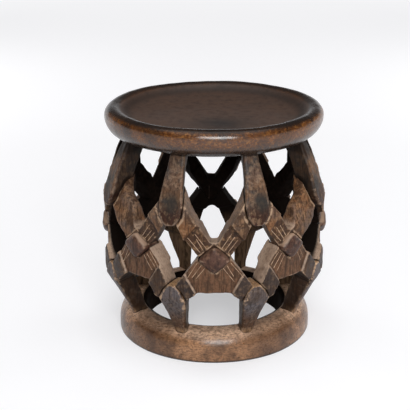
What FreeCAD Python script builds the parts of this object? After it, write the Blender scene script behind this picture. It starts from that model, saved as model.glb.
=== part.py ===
import FreeCAD, Part
import math
import os

# Carved openwork stool, millimetres, +Z up, origin on the floor under the middle of the seat.
# Azimuth 0 is the front of the stool and faces -Y; azimuths grow towards +X.

# Heights, stacked from the floor up
BASE_HEIGHT = 48.0
FOOT_POD_LENGTH = 92.0
CROSSING_RISE = 101.0
HANGING_POD_LENGTH = 102.0
RIM_LOWER_ROLL = 32.0
RIM_UPPER_ROLL = 15.0

# Seat
SEAT_RADIUS = 180.0
RIM_INNER_ROLL = 20.0
DISH_SWEEP = 34.0
DISH_HOLLOW = 2.5
DISH_FLOOR_RADIUS = 60.0
RIM_LOWER_FLAT_COUNT = 6
RIM_UPPER_FLAT_COUNT = 4
RIM_INNER_FLAT_COUNT = 2
DISH_FLAT_COUNT = 3

# Base ring
BASE_RADIUS = 164.5
BASE_BORE_RADIUS = 115.0
BASE_SHOULDER_HEIGHT = 15.0
BASE_SHOULDER_WIDTH = 26.0
BASE_BORE_ROUND = 9.0
BASE_BEVEL = 2.5
BASE_SHOULDER_FLAT_COUNT = 5
BASE_BORE_FLAT_COUNT = 2

# Lattice barrel
LATTICE_RADIUS = 186.0
LATTICE_DEPTH = 34.0
NECK_RECESS = 6.0
CROSSING_AZIMUTHS = (0.0, 42.5, 90.0, 139.0, 182.0, 222.0, 270.0, 317.5)
CROSSING_DROPS = (4.5, -2.5, 4.5, 4.5, 4.5, 4.5, 4.5, -2.5)

# Bosses at the crossings
BOSS_HALF_WIDTH = 27.0
BOSS_HALF_HEIGHT = 24.0
BOSS_CORNER_CUT = 4.0
BOSS_PROUD = 3.0
BOSS_BEVEL = 5.0
BOSS_SIDE_TAPER = 3.0
BOSS_END_TAPER = 8.0

# Hanging pods
HANGING_POD_TOP_HALF_WIDTH = 12.3
HANGING_POD_HALF_WIDTH = 21.0
HANGING_POD_TIP_HALF_WIDTH = 8.5
HANGING_POD_PROUD = 7.0
HANGING_POD_DEPTH = 36.0
HANGING_POD_SETBACK = 24.5
HANGING_POD_STATIONS = (0.0, 0.27, 0.50, 0.70, 0.86, 0.95, 1.0)
HANGING_POD_SHOULDER = 0.70
HANGING_POD_TIP_CURVE = 2.4
HANGING_POD_FLANK_SLOPE = 0.33

# Foot pods
FOOT_POD_BASE_HALF_WIDTH = 9.0
FOOT_POD_HALF_WIDTH = 22.5
FOOT_POD_TIP_HALF_WIDTH = 7.5
FOOT_POD_PROUD = 1.0
FOOT_POD_DEPTH = 38.0
FOOT_POD_HEEL_MARGIN = 9.5
FOOT_POD_SETBACK = 16.0
FOOT_POD_STATIONS = (0.0, 0.40, 0.75, 0.90, 1.0)
FOOT_POD_SHOULDER = 0.75
FOOT_POD_TIP_CURVE = 1.5
FOOT_POD_FLANK_SLOPE = 0.18

# Edges of both kinds of pod
POD_EDGE_BEVEL = 3.5
POD_INNER_HALF_WIDTH = 4.0

# Upper arms: the valley between them, the end of the recessed neck and the kite beyond it
VALLEY_HALF_WIDTH = 7.0
VALLEY_RISE = 27.5
UPPER_NECK_INNER = (25.0, 56.0)
UPPER_NECK_OUTER = (46.0, 28.5)
KITE_STEP = 2.5
KITE_INNER = (-27.0, 27.0)
KITE_OUTER = (-8.5, 3.0)
KITE_END_INNER = (-4.0, 59.0)
KITE_END_OUTER = (-1.0, 19.0)
KITE_END_SINK = 1.933
VALLEY_TAPER = 3.0
UPPER_UNDERSIDE_TAPER = 8.0

# Upper arms without a neck, planed back along the valley into one plain leaf
LEAF_ARMS = ("upper_arm_2_right", "upper_arm_8_left")
LEAF_PLANE = 14.0

# Lower arms: the arch over the opening at the base and the end facet at the foot pod
ARCH_FRONT_DROP = 57.0
ARCH_BACK_DROP = 33.0
ARCH_FRONT_HALF_WIDTH = 27.0
ARCH_BACK_HALF_WIDTH = 8.0
LOWER_NECK_OUTER = (45.8, -22.5)
LOWER_SHOULDER = (26.0, 2.0)
LOWER_END_OUTER = (-8.5, 3.0)
LOWER_END_INNER_FRONT = (-27.5, -22.0)
LOWER_END_INNER_BACK = (-40.0, -26.0)
LOWER_SEAT_OUTER = (-1.0, -12.0)
LOWER_SEAT_INNER = (-8.0, -40.0)
LOWER_SEAT_DROP = 16.0
LOWER_TOP_TAPER = 1.0
ARCH_TAPER = 9.0
ROOT_INSET = 5.0
SEAT_INSET = 14.0

# Heights worked out from the stack
FOOT_TIP_Z = BASE_HEIGHT + FOOT_POD_LENGTH
HANGING_TIP_Z = FOOT_TIP_Z + CROSSING_RISE
CROSSING_MIDDLE_Z = (FOOT_TIP_Z + HANGING_TIP_Z) / 2.0
SEAT_UNDERSIDE_Z = HANGING_TIP_Z + HANGING_POD_LENGTH
RIM_WIDEST_Z = SEAT_UNDERSIDE_Z + RIM_LOWER_ROLL
SEAT_TOP_Z = RIM_WIDEST_Z + RIM_UPPER_ROLL

VERTICAL = FreeCAD.Vector(0.0, 0.0, 1.0)
HALF_ROOT_TWO = math.sqrt(0.5)
FLATNESS = 1.0e-6


def turned(profile):
    """Solid of revolution about the Z axis from a closed run of (radius, height) points."""
    points = [FreeCAD.Vector(radius, 0.0, height) for radius, height in profile]
    face = Part.Face(Part.makePolygon(points + [points[0]]))
    return face.revolve(FreeCAD.Vector(0.0, 0.0, 0.0), VERTICAL, 360.0)


def rounded(centre, reach, rise, start_degrees, end_degrees, flats):
    """Points of a rounded stretch of a profile, cut in flats as a carver leaves it."""
    points = []
    for step in range(flats + 1):
        turn = math.radians(start_degrees + (end_degrees - start_degrees) * step / flats)
        points.append((centre[0] + reach * math.cos(turn), centre[1] + rise * math.sin(turn)))
    return points


def seat():
    """Round seat: flat underside, rolled rim, dish with a gently hollow floor."""
    lower_centre = (SEAT_RADIUS - RIM_LOWER_ROLL, RIM_WIDEST_Z)
    upper_centre = (SEAT_RADIUS - RIM_UPPER_ROLL, RIM_WIDEST_Z)
    inner_centre = (upper_centre[0], SEAT_TOP_Z - RIM_INNER_ROLL)
    wall_radius = inner_centre[0] - RIM_INNER_ROLL * HALF_ROOT_TWO
    wall_z = inner_centre[1] + RIM_INNER_ROLL * HALF_ROOT_TWO
    sweep_centre = (wall_radius - DISH_SWEEP * HALF_ROOT_TWO, wall_z + DISH_SWEEP * HALF_ROOT_TWO)
    floor_z = sweep_centre[1] - DISH_SWEEP - DISH_HOLLOW
    return turned(
        [(0.0, SEAT_UNDERSIDE_Z)]
        + rounded(lower_centre, RIM_LOWER_ROLL, RIM_LOWER_ROLL, -90.0, 0.0, RIM_LOWER_FLAT_COUNT)
        + rounded(upper_centre, RIM_UPPER_ROLL, RIM_UPPER_ROLL, 0.0, 90.0, RIM_UPPER_FLAT_COUNT)[1:]
        + rounded(inner_centre, RIM_INNER_ROLL, RIM_INNER_ROLL, 90.0, 135.0, RIM_INNER_FLAT_COUNT)[1:]
        + rounded(sweep_centre, DISH_SWEEP, DISH_SWEEP, -45.0, -90.0, DISH_FLAT_COUNT)[1:]
        + [(DISH_FLOOR_RADIUS, floor_z), (0.0, floor_z)]
    )


def base_ring():
    """Open ring with a rounded outer shoulder, a rounded bore edge and a small bevel at the floor."""
    shoulder_centre = (BASE_RADIUS - BASE_SHOULDER_WIDTH, BASE_SHOULDER_HEIGHT)
    shoulder_rise = BASE_HEIGHT - BASE_SHOULDER_HEIGHT
    bore_centre = (BASE_BORE_RADIUS + BASE_BORE_ROUND, BASE_HEIGHT - BASE_BORE_ROUND)
    return turned(
        [(BASE_BORE_RADIUS, 0.0), (BASE_RADIUS - BASE_BEVEL, 0.0), (BASE_RADIUS, BASE_BEVEL)]
        + rounded(shoulder_centre, BASE_SHOULDER_WIDTH, shoulder_rise, 0.0, 90.0, BASE_SHOULDER_FLAT_COUNT)
        + rounded(bore_centre, BASE_BORE_ROUND, BASE_BORE_ROUND, 90.0, 180.0, BASE_BORE_FLAT_COUNT)
    )


def outward(azimuth):
    """Level unit vector that points out of the barrel at an azimuth in degrees."""
    turn = math.radians(azimuth)
    return FreeCAD.Vector(math.sin(turn), -math.cos(turn), 0.0)


def sideways(azimuth):
    """Level unit vector along the barrel, towards growing azimuth."""
    turn = math.radians(azimuth)
    return FreeCAD.Vector(math.cos(turn), math.sin(turn), 0.0)


def facet(points):
    return Part.Face(Part.makePolygon(points + [points[0]]))


def side_facets(corners, middle):
    """Facets of one side between two sections; a warped side is split along its outer ridge."""
    first, second, third, fourth = corners
    normal = (second - first).cross(third - first).normalize()
    if normal.dot(first - middle) < 0.0:
        normal = -normal
    lift = normal.dot(fourth - first)
    if abs(lift) < FLATNESS:
        return [facet(corners)]
    if lift < 0.0:
        return [facet([first, second, third]), facet([first, third, fourth])]
    return [facet([first, second, fourth]), facet([second, third, fourth])]


def faceted(sections):
    """Solid with knife-cut flat facets through a run of closed sections."""
    faces = [facet(sections[0]), facet(sections[-1])]
    for near, far in zip(sections, sections[1:]):
        middle = sum(near + far, FreeCAD.Vector()) * (1.0 / (len(near) + len(far)))
        for index in range(len(near)):
            following = (index + 1) % len(near)
            corners = [near[index], near[following], far[following], far[index]]
            faces += side_facets(corners, middle)
    shell = Part.makeShell(faces)
    shell.sewShape()
    solid = Part.makeSolid(shell)
    if solid.Volume < 0.0:
        solid.reverse()
    return solid


def boss(azimuth, level):
    """Lozenge at a crossing: it tapers inwards and has a bevelled face."""
    back_half_width = BOSS_HALF_WIDTH - BOSS_SIDE_TAPER
    depths = (
        (LATTICE_RADIUS - LATTICE_DEPTH, back_half_width, BOSS_HALF_HEIGHT - BOSS_END_TAPER),
        (LATTICE_RADIUS, BOSS_HALF_WIDTH, BOSS_HALF_HEIGHT),
        (LATTICE_RADIUS + BOSS_PROUD, BOSS_HALF_WIDTH - BOSS_BEVEL, BOSS_HALF_HEIGHT - BOSS_BEVEL),
    )
    sections = []
    for radius, half_width, half_height in depths:
        middle = outward(azimuth) * radius + VERTICAL * level
        across = sideways(azimuth)
        cut_side = BOSS_CORNER_CUT * half_width / half_height
        corners = (
            (half_width - cut_side / 2.0, BOSS_CORNER_CUT / 2.0),
            (cut_side / 2.0, half_height - BOSS_CORNER_CUT / 2.0),
            (-cut_side / 2.0, half_height - BOSS_CORNER_CUT / 2.0),
            (-half_width + cut_side / 2.0, BOSS_CORNER_CUT / 2.0),
            (-half_width + cut_side / 2.0, -BOSS_CORNER_CUT / 2.0),
            (-cut_side / 2.0, -half_height + BOSS_CORNER_CUT / 2.0),
            (cut_side / 2.0, -half_height + BOSS_CORNER_CUT / 2.0),
            (half_width - cut_side / 2.0, -BOSS_CORNER_CUT / 2.0),
        )
        sections.append([middle + across * u + VERTICAL * rise for u, rise in corners])
    return faceted(sections)


def pod_section(azimuth, height, outer_radius, depth, half_width, flank_slope):
    """Level section of a pod: flat face, bevelled edges, sides that draw in towards the axis."""
    inner_radius = outer_radius - depth
    inner_half_width = max(POD_INNER_HALF_WIDTH, half_width - depth * flank_slope)
    bevel = min(POD_EDGE_BEVEL, half_width / 2.0)
    outline = (
        (inner_radius, -inner_half_width),
        (outer_radius - bevel, -half_width),
        (outer_radius, -half_width + bevel),
        (outer_radius, half_width - bevel),
        (outer_radius - bevel, half_width),
        (inner_radius, inner_half_width),
    )
    points = []
    for radius, u in outline:
        points.append(outward(azimuth) * radius + sideways(azimuth) * u + VERTICAL * height)
    return points


def pod_half_width(share, shoulder, end_half_width, half_width, tip_half_width, tip_curve):
    """Half-width of a pod at a share of its length: a straight swell, then a rounded taper."""
    if share <= shoulder:
        return end_half_width + (half_width - end_half_width) * share / shoulder
    past = (share - shoulder) / (1.0 - shoulder)
    return half_width - (half_width - tip_half_width) * past ** tip_curve


def hanging_pod_radius(share):
    """Radius of a hanging pod's outer face at a share of its length from the seat."""
    top_radius = SEAT_RADIUS - HANGING_POD_SETBACK
    tip_radius = LATTICE_RADIUS + HANGING_POD_PROUD
    bow = (math.sin(math.pi / 2.0 * share) + share) / 2.0
    return top_radius + (tip_radius - top_radius) * bow


def hanging_pod(azimuth):
    """Petal that hangs from the seat, follows the barrel outwards and ends in a rounded tip."""
    sections = [pod_section(
        azimuth, SEAT_UNDERSIDE_Z + SEAT_INSET, hanging_pod_radius(0.0), HANGING_POD_DEPTH,
        HANGING_POD_TOP_HALF_WIDTH, HANGING_POD_FLANK_SLOPE,
    )]
    for share in HANGING_POD_STATIONS:
        sections.append(pod_section(
            azimuth,
            SEAT_UNDERSIDE_Z - HANGING_POD_LENGTH * share,
            hanging_pod_radius(share),
            HANGING_POD_DEPTH,
            pod_half_width(share, HANGING_POD_SHOULDER, HANGING_POD_TOP_HALF_WIDTH,
                           HANGING_POD_HALF_WIDTH, HANGING_POD_TIP_HALF_WIDTH, HANGING_POD_TIP_CURVE),
            HANGING_POD_FLANK_SLOPE,
        ))
    return faceted(sections)


def foot_pod(azimuth):
    """Petal that stands on the base ring, widest near its blunt tip."""
    base_radius = BASE_RADIUS - FOOT_POD_SETBACK
    base_depth = base_radius - BASE_BORE_RADIUS - FOOT_POD_HEEL_MARGIN
    tip_radius = LATTICE_RADIUS + FOOT_POD_PROUD
    sections = []
    for share in (-SEAT_INSET / FOOT_POD_LENGTH, *FOOT_POD_STATIONS):
        lean = min(1.0, share / FOOT_POD_SHOULDER)
        sections.append(pod_section(
            azimuth,
            BASE_HEIGHT + FOOT_POD_LENGTH * share,
            base_radius + (tip_radius - base_radius) * lean,
            base_depth + (FOOT_POD_DEPTH - base_depth) * lean,
            pod_half_width(share, FOOT_POD_SHOULDER, FOOT_POD_BASE_HALF_WIDTH,
                           FOOT_POD_HALF_WIDTH, FOOT_POD_TIP_HALF_WIDTH, FOOT_POD_TIP_CURVE),
            FOOT_POD_FLANK_SLOPE,
        ))
    return faceted(sections)


def arm_section(upper, lower, outer_radius, plane, upper_taper, lower_taper):
    """Section of an arm between two edges, each an azimuth and a height; it tapers inwards."""
    inward = outward((upper[0] + lower[0]) / 2.0) * -1.0
    start = outward(upper[0]) * (outer_radius - plane) + VERTICAL * upper[1]
    end = outward(lower[0]) * outer_radius + VERTICAL * lower[1]
    along = (end - start).normalize()
    return [
        start,
        end,
        end + inward * LATTICE_DEPTH - along * lower_taper,
        start + inward * (LATTICE_DEPTH - plane) + along * upper_taper,
    ]


def arm(edges, upper_taper, lower_taper):
    """Solid arm through a run of sections, each two edges, a radius and the upper edge's planing."""
    return faceted([
        arm_section(upper, lower, radius, plane, upper_taper, lower_taper)
        for upper, lower, radius, plane in edges
    ])


def mark(azimuth, side, height, place):
    """Azimuth and height of a place given as a distance along the barrel and a rise."""
    return (azimuth + side * math.degrees(place[0] / LATTICE_RADIUS), height + place[1])


def upper_arm(crossing, level, pod, side, leaf):
    """Arm from a crossing up to a hanging pod: recessed neck, then a thicker plain kite."""
    neck_radius = LATTICE_RADIUS - NECK_RECESS
    neck_end_radius = LATTICE_RADIUS if leaf else neck_radius
    plane = LEAF_PLANE if leaf else 0.0
    kite_end_share = (HANGING_POD_LENGTH - KITE_END_INNER[1]) / HANGING_POD_LENGTH
    kite_end_radius = hanging_pod_radius(kite_end_share) - KITE_END_SINK
    step = (KITE_STEP, KITE_STEP)
    neck_inner = mark(crossing, side, level, UPPER_NECK_INNER)
    neck_outer = mark(crossing, side, level, UPPER_NECK_OUTER)
    valley = mark(crossing, side, level, (VALLEY_HALF_WIDTH, VALLEY_RISE))
    root = mark(crossing, side, level, (VALLEY_HALF_WIDTH, ROOT_INSET - BOSS_HALF_HEIGHT))
    return arm([
        ((crossing, level + VALLEY_RISE), (crossing, level - BOSS_HALF_HEIGHT), neck_radius, 0.0),
        (valley, root, neck_radius, 0.0),
        (neck_inner, neck_outer, neck_end_radius, plane),
        (mark(neck_inner[0], side, neck_inner[1], step),
         mark(neck_outer[0], side, neck_outer[1], step), LATTICE_RADIUS, plane),
        (mark(pod, side, HANGING_TIP_Z, KITE_INNER),
         mark(pod, side, HANGING_TIP_Z, KITE_OUTER), LATTICE_RADIUS, plane),
        (mark(pod, side, HANGING_TIP_Z, KITE_END_INNER),
         mark(pod, side, HANGING_TIP_Z, KITE_END_OUTER), kite_end_radius, plane),
    ], VALLEY_TAPER, UPPER_UNDERSIDE_TAPER)


def lower_arm(crossing, level, pod, side):
    """Arm from a crossing down to a foot pod, with its half of the web over the arch."""
    neck_radius = LATTICE_RADIUS - NECK_RECESS
    backness = (1.0 - math.cos(math.radians(crossing))) / 2.0
    arch_drop = ARCH_FRONT_DROP + (ARCH_BACK_DROP - ARCH_FRONT_DROP) * backness
    arch_half = ARCH_FRONT_HALF_WIDTH + (ARCH_BACK_HALF_WIDTH - ARCH_FRONT_HALF_WIDTH) * backness
    end_inner = [
        front + (back - front) * backness
        for front, back in zip(LOWER_END_INNER_FRONT, LOWER_END_INNER_BACK)
    ]
    step = (KITE_STEP, -KITE_STEP)
    neck_outer = mark(crossing, side, level, LOWER_NECK_OUTER)
    arch_end = mark(crossing, side, level, (arch_half, -arch_drop))
    arch_middle = mark(crossing, side, level, (arch_half / 2.0, -arch_drop))
    return arm([
        ((crossing, level + BOSS_HALF_HEIGHT - ROOT_INSET),
         (crossing, level - arch_drop), neck_radius, 0.0),
        (mark(crossing, side, level, LOWER_SHOULDER), arch_middle, neck_radius, 0.0),
        (neck_outer, arch_end, neck_radius, 0.0),
        (mark(neck_outer[0], side, neck_outer[1], step),
         mark(arch_end[0], side, arch_end[1], step), LATTICE_RADIUS, 0.0),
        (mark(pod, side, FOOT_TIP_Z, LOWER_END_OUTER),
         mark(pod, side, FOOT_TIP_Z, end_inner), LATTICE_RADIUS, 0.0),
        (mark(pod, side, FOOT_TIP_Z, LOWER_SEAT_OUTER),
         mark(pod, side, FOOT_TIP_Z, LOWER_SEAT_INNER), LATTICE_RADIUS - LOWER_SEAT_DROP, 0.0),
    ], LOWER_TOP_TAPER, ARCH_TAPER)


def between(first, second):
    """Azimuth halfway from one crossing to the next."""
    return first + ((second - first) % 360.0) / 2.0


def build():
    """All the carved members by name, each cut where it meets its neighbours."""
    top = seat()
    ring = base_ring()
    shapes = {"seat": top, "base_ring": ring}
    count = len(CROSSING_AZIMUTHS)
    pod_azimuths = []
    for index in range(count):
        following = CROSSING_AZIMUTHS[(index + 1) % count]
        pod_azimuths.append(between(CROSSING_AZIMUTHS[index], following))
    for index, azimuth in enumerate(pod_azimuths, start=1):
        shapes[f"hanging_pod_{index}"] = hanging_pod(azimuth).cut(top)
        shapes[f"foot_pod_{index}"] = foot_pod(azimuth).cut(ring)
    for index, azimuth in enumerate(CROSSING_AZIMUTHS):
        number = index + 1
        level = CROSSING_MIDDLE_Z - CROSSING_DROPS[index]
        lozenge = boss(azimuth, level)
        shapes[f"boss_{number}"] = lozenge
        for name, side, pod_index in (("right", 1, index), ("left", -1, (index - 1) % count)):
            pod_turn = (pod_azimuths[pod_index] - azimuth + 180.0) % 360.0 - 180.0
            pod = azimuth + pod_turn
            upper_name = f"upper_arm_{number}_{name}"
            upper = upper_arm(azimuth, level, pod, side, upper_name in LEAF_ARMS)
            lower = lower_arm(azimuth, level, pod, side)
            petal = shapes[f"hanging_pod_{pod_index + 1}"]
            foot = shapes[f"foot_pod_{pod_index + 1}"]
            shapes[upper_name] = upper.cut(lozenge).cut(petal)
            shapes[f"lower_arm_{number}_{name}"] = lower.cut(lozenge).cut(foot).cut(upper)
    return shapes


def main():
    os.makedirs("parts", exist_ok=True)
    for name, shape in build().items():
        if len(shape.Solids) != 1 or not shape.isValid():
            print(f"{name}: {len(shape.Solids)} solids, valid {shape.isValid()}")
        shape.exportStep(os.path.join("parts", f"{name}.step"))


main()
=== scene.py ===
"""Carved wooden stool with an openwork lattice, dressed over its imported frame.

A dished round seat and a heavy base ring are joined by eight crossings. Each crossing is a
boss with two arms going up and two going down, and between the crossings a pod hangs from
the seat and another stands on the base.
"""

import logging
import math
from dataclasses import dataclass, field
from enum import Enum, IntEnum
from typing import Any, Sequence

import bmesh
import bpy
import numpy as np
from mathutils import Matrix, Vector, kdtree, noise
from mathutils.bvhtree import BVHTree


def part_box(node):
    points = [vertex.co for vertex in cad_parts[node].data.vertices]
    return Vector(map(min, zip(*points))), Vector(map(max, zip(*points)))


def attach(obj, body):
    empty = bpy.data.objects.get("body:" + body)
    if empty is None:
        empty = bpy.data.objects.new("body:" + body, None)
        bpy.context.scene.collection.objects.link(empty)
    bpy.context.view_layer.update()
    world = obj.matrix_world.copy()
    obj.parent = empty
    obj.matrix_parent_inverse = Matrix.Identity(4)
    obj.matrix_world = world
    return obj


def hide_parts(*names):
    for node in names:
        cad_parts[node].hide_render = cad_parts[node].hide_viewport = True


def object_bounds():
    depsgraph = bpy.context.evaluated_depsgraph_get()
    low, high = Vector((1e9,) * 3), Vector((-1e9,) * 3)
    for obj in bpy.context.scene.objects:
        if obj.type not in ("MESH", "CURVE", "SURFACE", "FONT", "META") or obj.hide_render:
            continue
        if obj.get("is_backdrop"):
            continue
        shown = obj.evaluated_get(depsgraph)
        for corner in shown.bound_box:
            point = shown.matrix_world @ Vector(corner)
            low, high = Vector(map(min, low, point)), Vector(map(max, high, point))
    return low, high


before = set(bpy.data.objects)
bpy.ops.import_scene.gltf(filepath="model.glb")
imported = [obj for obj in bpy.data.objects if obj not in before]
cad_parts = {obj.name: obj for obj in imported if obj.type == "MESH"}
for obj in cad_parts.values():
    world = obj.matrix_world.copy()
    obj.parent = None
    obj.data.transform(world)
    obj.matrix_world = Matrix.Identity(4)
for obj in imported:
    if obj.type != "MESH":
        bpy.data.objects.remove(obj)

LOG = logging.getLogger("stool")
MM = 0.001
BODY = "root"
CARVE = "carve"
RUB = "rub"
CROSSINGS = 8
# Crossings whose bosses keep little of the pale top, painted light and rubbing, and crossings with a
# plain leaf for an arm.
DARK_BOSSES = (1, 4, 6)
LEAF_SIDES = {2: 1, 8: -1}
# The bend that all members share: its reach, its length and the seed of its noise.
WARP_MM = 1.3
WARP_LENGTH_MM = 70.0
WARP_SEED = 7

Colour = tuple[float, float, float, float]
Spot = tuple[float, float, float]
Span = tuple[float, float]

# Share of soot and painted shade from which on a face is black.
SOOT_SHADE_START = 0.55
# Turn of a face towards the outward direction, or away from it.
FACE_OUT: Span = (0.5, 0.75)
FACE_IN: Span = (0.25, 0.8)
# Soot and painted shade on the stool's far half: its depth behind the outer faces, and the faces it
# leaves clean.
SOOT_SHADE_DEPTH_MM: Span = (4.0, 14.0)
SOOT_SHADE_FACING: Span = (0.3, 0.7)
FAR_HALF: Span = (-0.7, 0.0)
# Dirt and painted shade along a joint: where they start to fade, their thinnest share and their
# patches.
DIRT_SHADE_START_MM = 0.5
DIRT_SHADE_LEAST = 0.35
DIRT_SHADE_PATCH_MM = 18.0
DIRT_SHADE_PATCH_SHIFT = 5.0
DIRT_SHADE_PATCH: Span = (-0.35, 0.25)
# Share of the way to its neighbours that a point goes in one stroke of sanding.
SANDING = 0.5
# Distance within which corners of the solids are one, and digits of a metre that tell them apart.
WELD_MM = 0.01
WELD_DIGITS = 6


class MixPin(IntEnum):
    """Sockets of a Mix node that blends colours."""

    FACTOR = 0
    A = 6
    B = 7
    RESULT = 2


class Rank(Enum):
    """The two storeys of a crossing's arms, by the sign of their way from the boss."""

    UPPER = 1
    LOWER = -1


class PodKind(Enum):
    """The two kinds of pod, by the first word of their CAD nodes."""

    HANGING = "hanging"
    FOOT = "foot"


class Mask(Enum):
    """What a stain follows: a pattern of the wood, or a mark of one of the two attributes."""

    CLOUD = "cloud"
    BLOTCH = "blotch"
    MOTTLE = "mottle"
    SPECKLE = "speckle"
    FIBRE = "fibre"
    EDGE = "edge"
    HOLLOW = "hollow"
    ZONE = "zone"
    SHADE = "shade"
    RUB = "rub"


def linear(code: str) -> Colour:
    """Turns an sRGB hex colour into linear light.

    Args:
        code: Colour as "#rrggbb".

    Returns:
        Linear red, green and blue, and an alpha of one.
    """
    # The numbers are those of the sRGB standard.
    channels = [byte / 255 for byte in bytes.fromhex(code.lstrip("#"))]
    light = [c / 12.92 if c <= 0.04045 else ((c + 0.055) / 1.055) ** 2.4 for c in channels]
    return light[0], light[1], light[2], 1.0


def per_mm(size: float) -> float:
    """Gives the texture scale at which one cell of a pattern spans a size in millimetres."""
    return 1.0 / (size * MM)


def add_node(
    tree: bpy.types.NodeTree, kind: str, inputs: dict[Any, Any] | None = None, **settings: Any
) -> bpy.types.Node:
    """Adds one node with its settings, values and links.

    Args:
        tree: Node tree that gets the node.
        kind: Blender's type name of the node.
        inputs: Values or output sockets, by the input's name or number.
        **settings: Attributes of the node itself.

    Returns:
        The new node.
    """
    node = tree.nodes.new(kind)
    for name, value in settings.items():
        setattr(node, name, value)
    for pin, value in (inputs or {}).items():
        if isinstance(value, bpy.types.NodeSocket):
            tree.links.new(value, node.inputs[pin])
        else:
            node.inputs[pin].default_value = value
    return node


def blank_material(name: str) -> bpy.types.Material:
    """Starts a node material.

    Args:
        name: Name of the material.

    Returns:
        The material, with an empty node tree.
    """
    material = bpy.data.materials.new(name)
    material.use_nodes = True
    material.node_tree.nodes.clear()
    return material


def in_scene(name: str, data: Any) -> bpy.types.Object:
    """Makes an object and links it to the scene.

    Args:
        name: Name of the object.
        data: Its mesh, light or camera.

    Returns:
        The object.
    """
    holder = bpy.data.objects.new(name, data)
    bpy.context.scene.collection.objects.link(holder)
    return holder


@dataclass(frozen=True)
class Stain:
    """One layer of colour, laid where a mask rises from start to end."""

    mask: Mask
    start: float
    end: float
    amount: float
    hue: str


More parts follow.
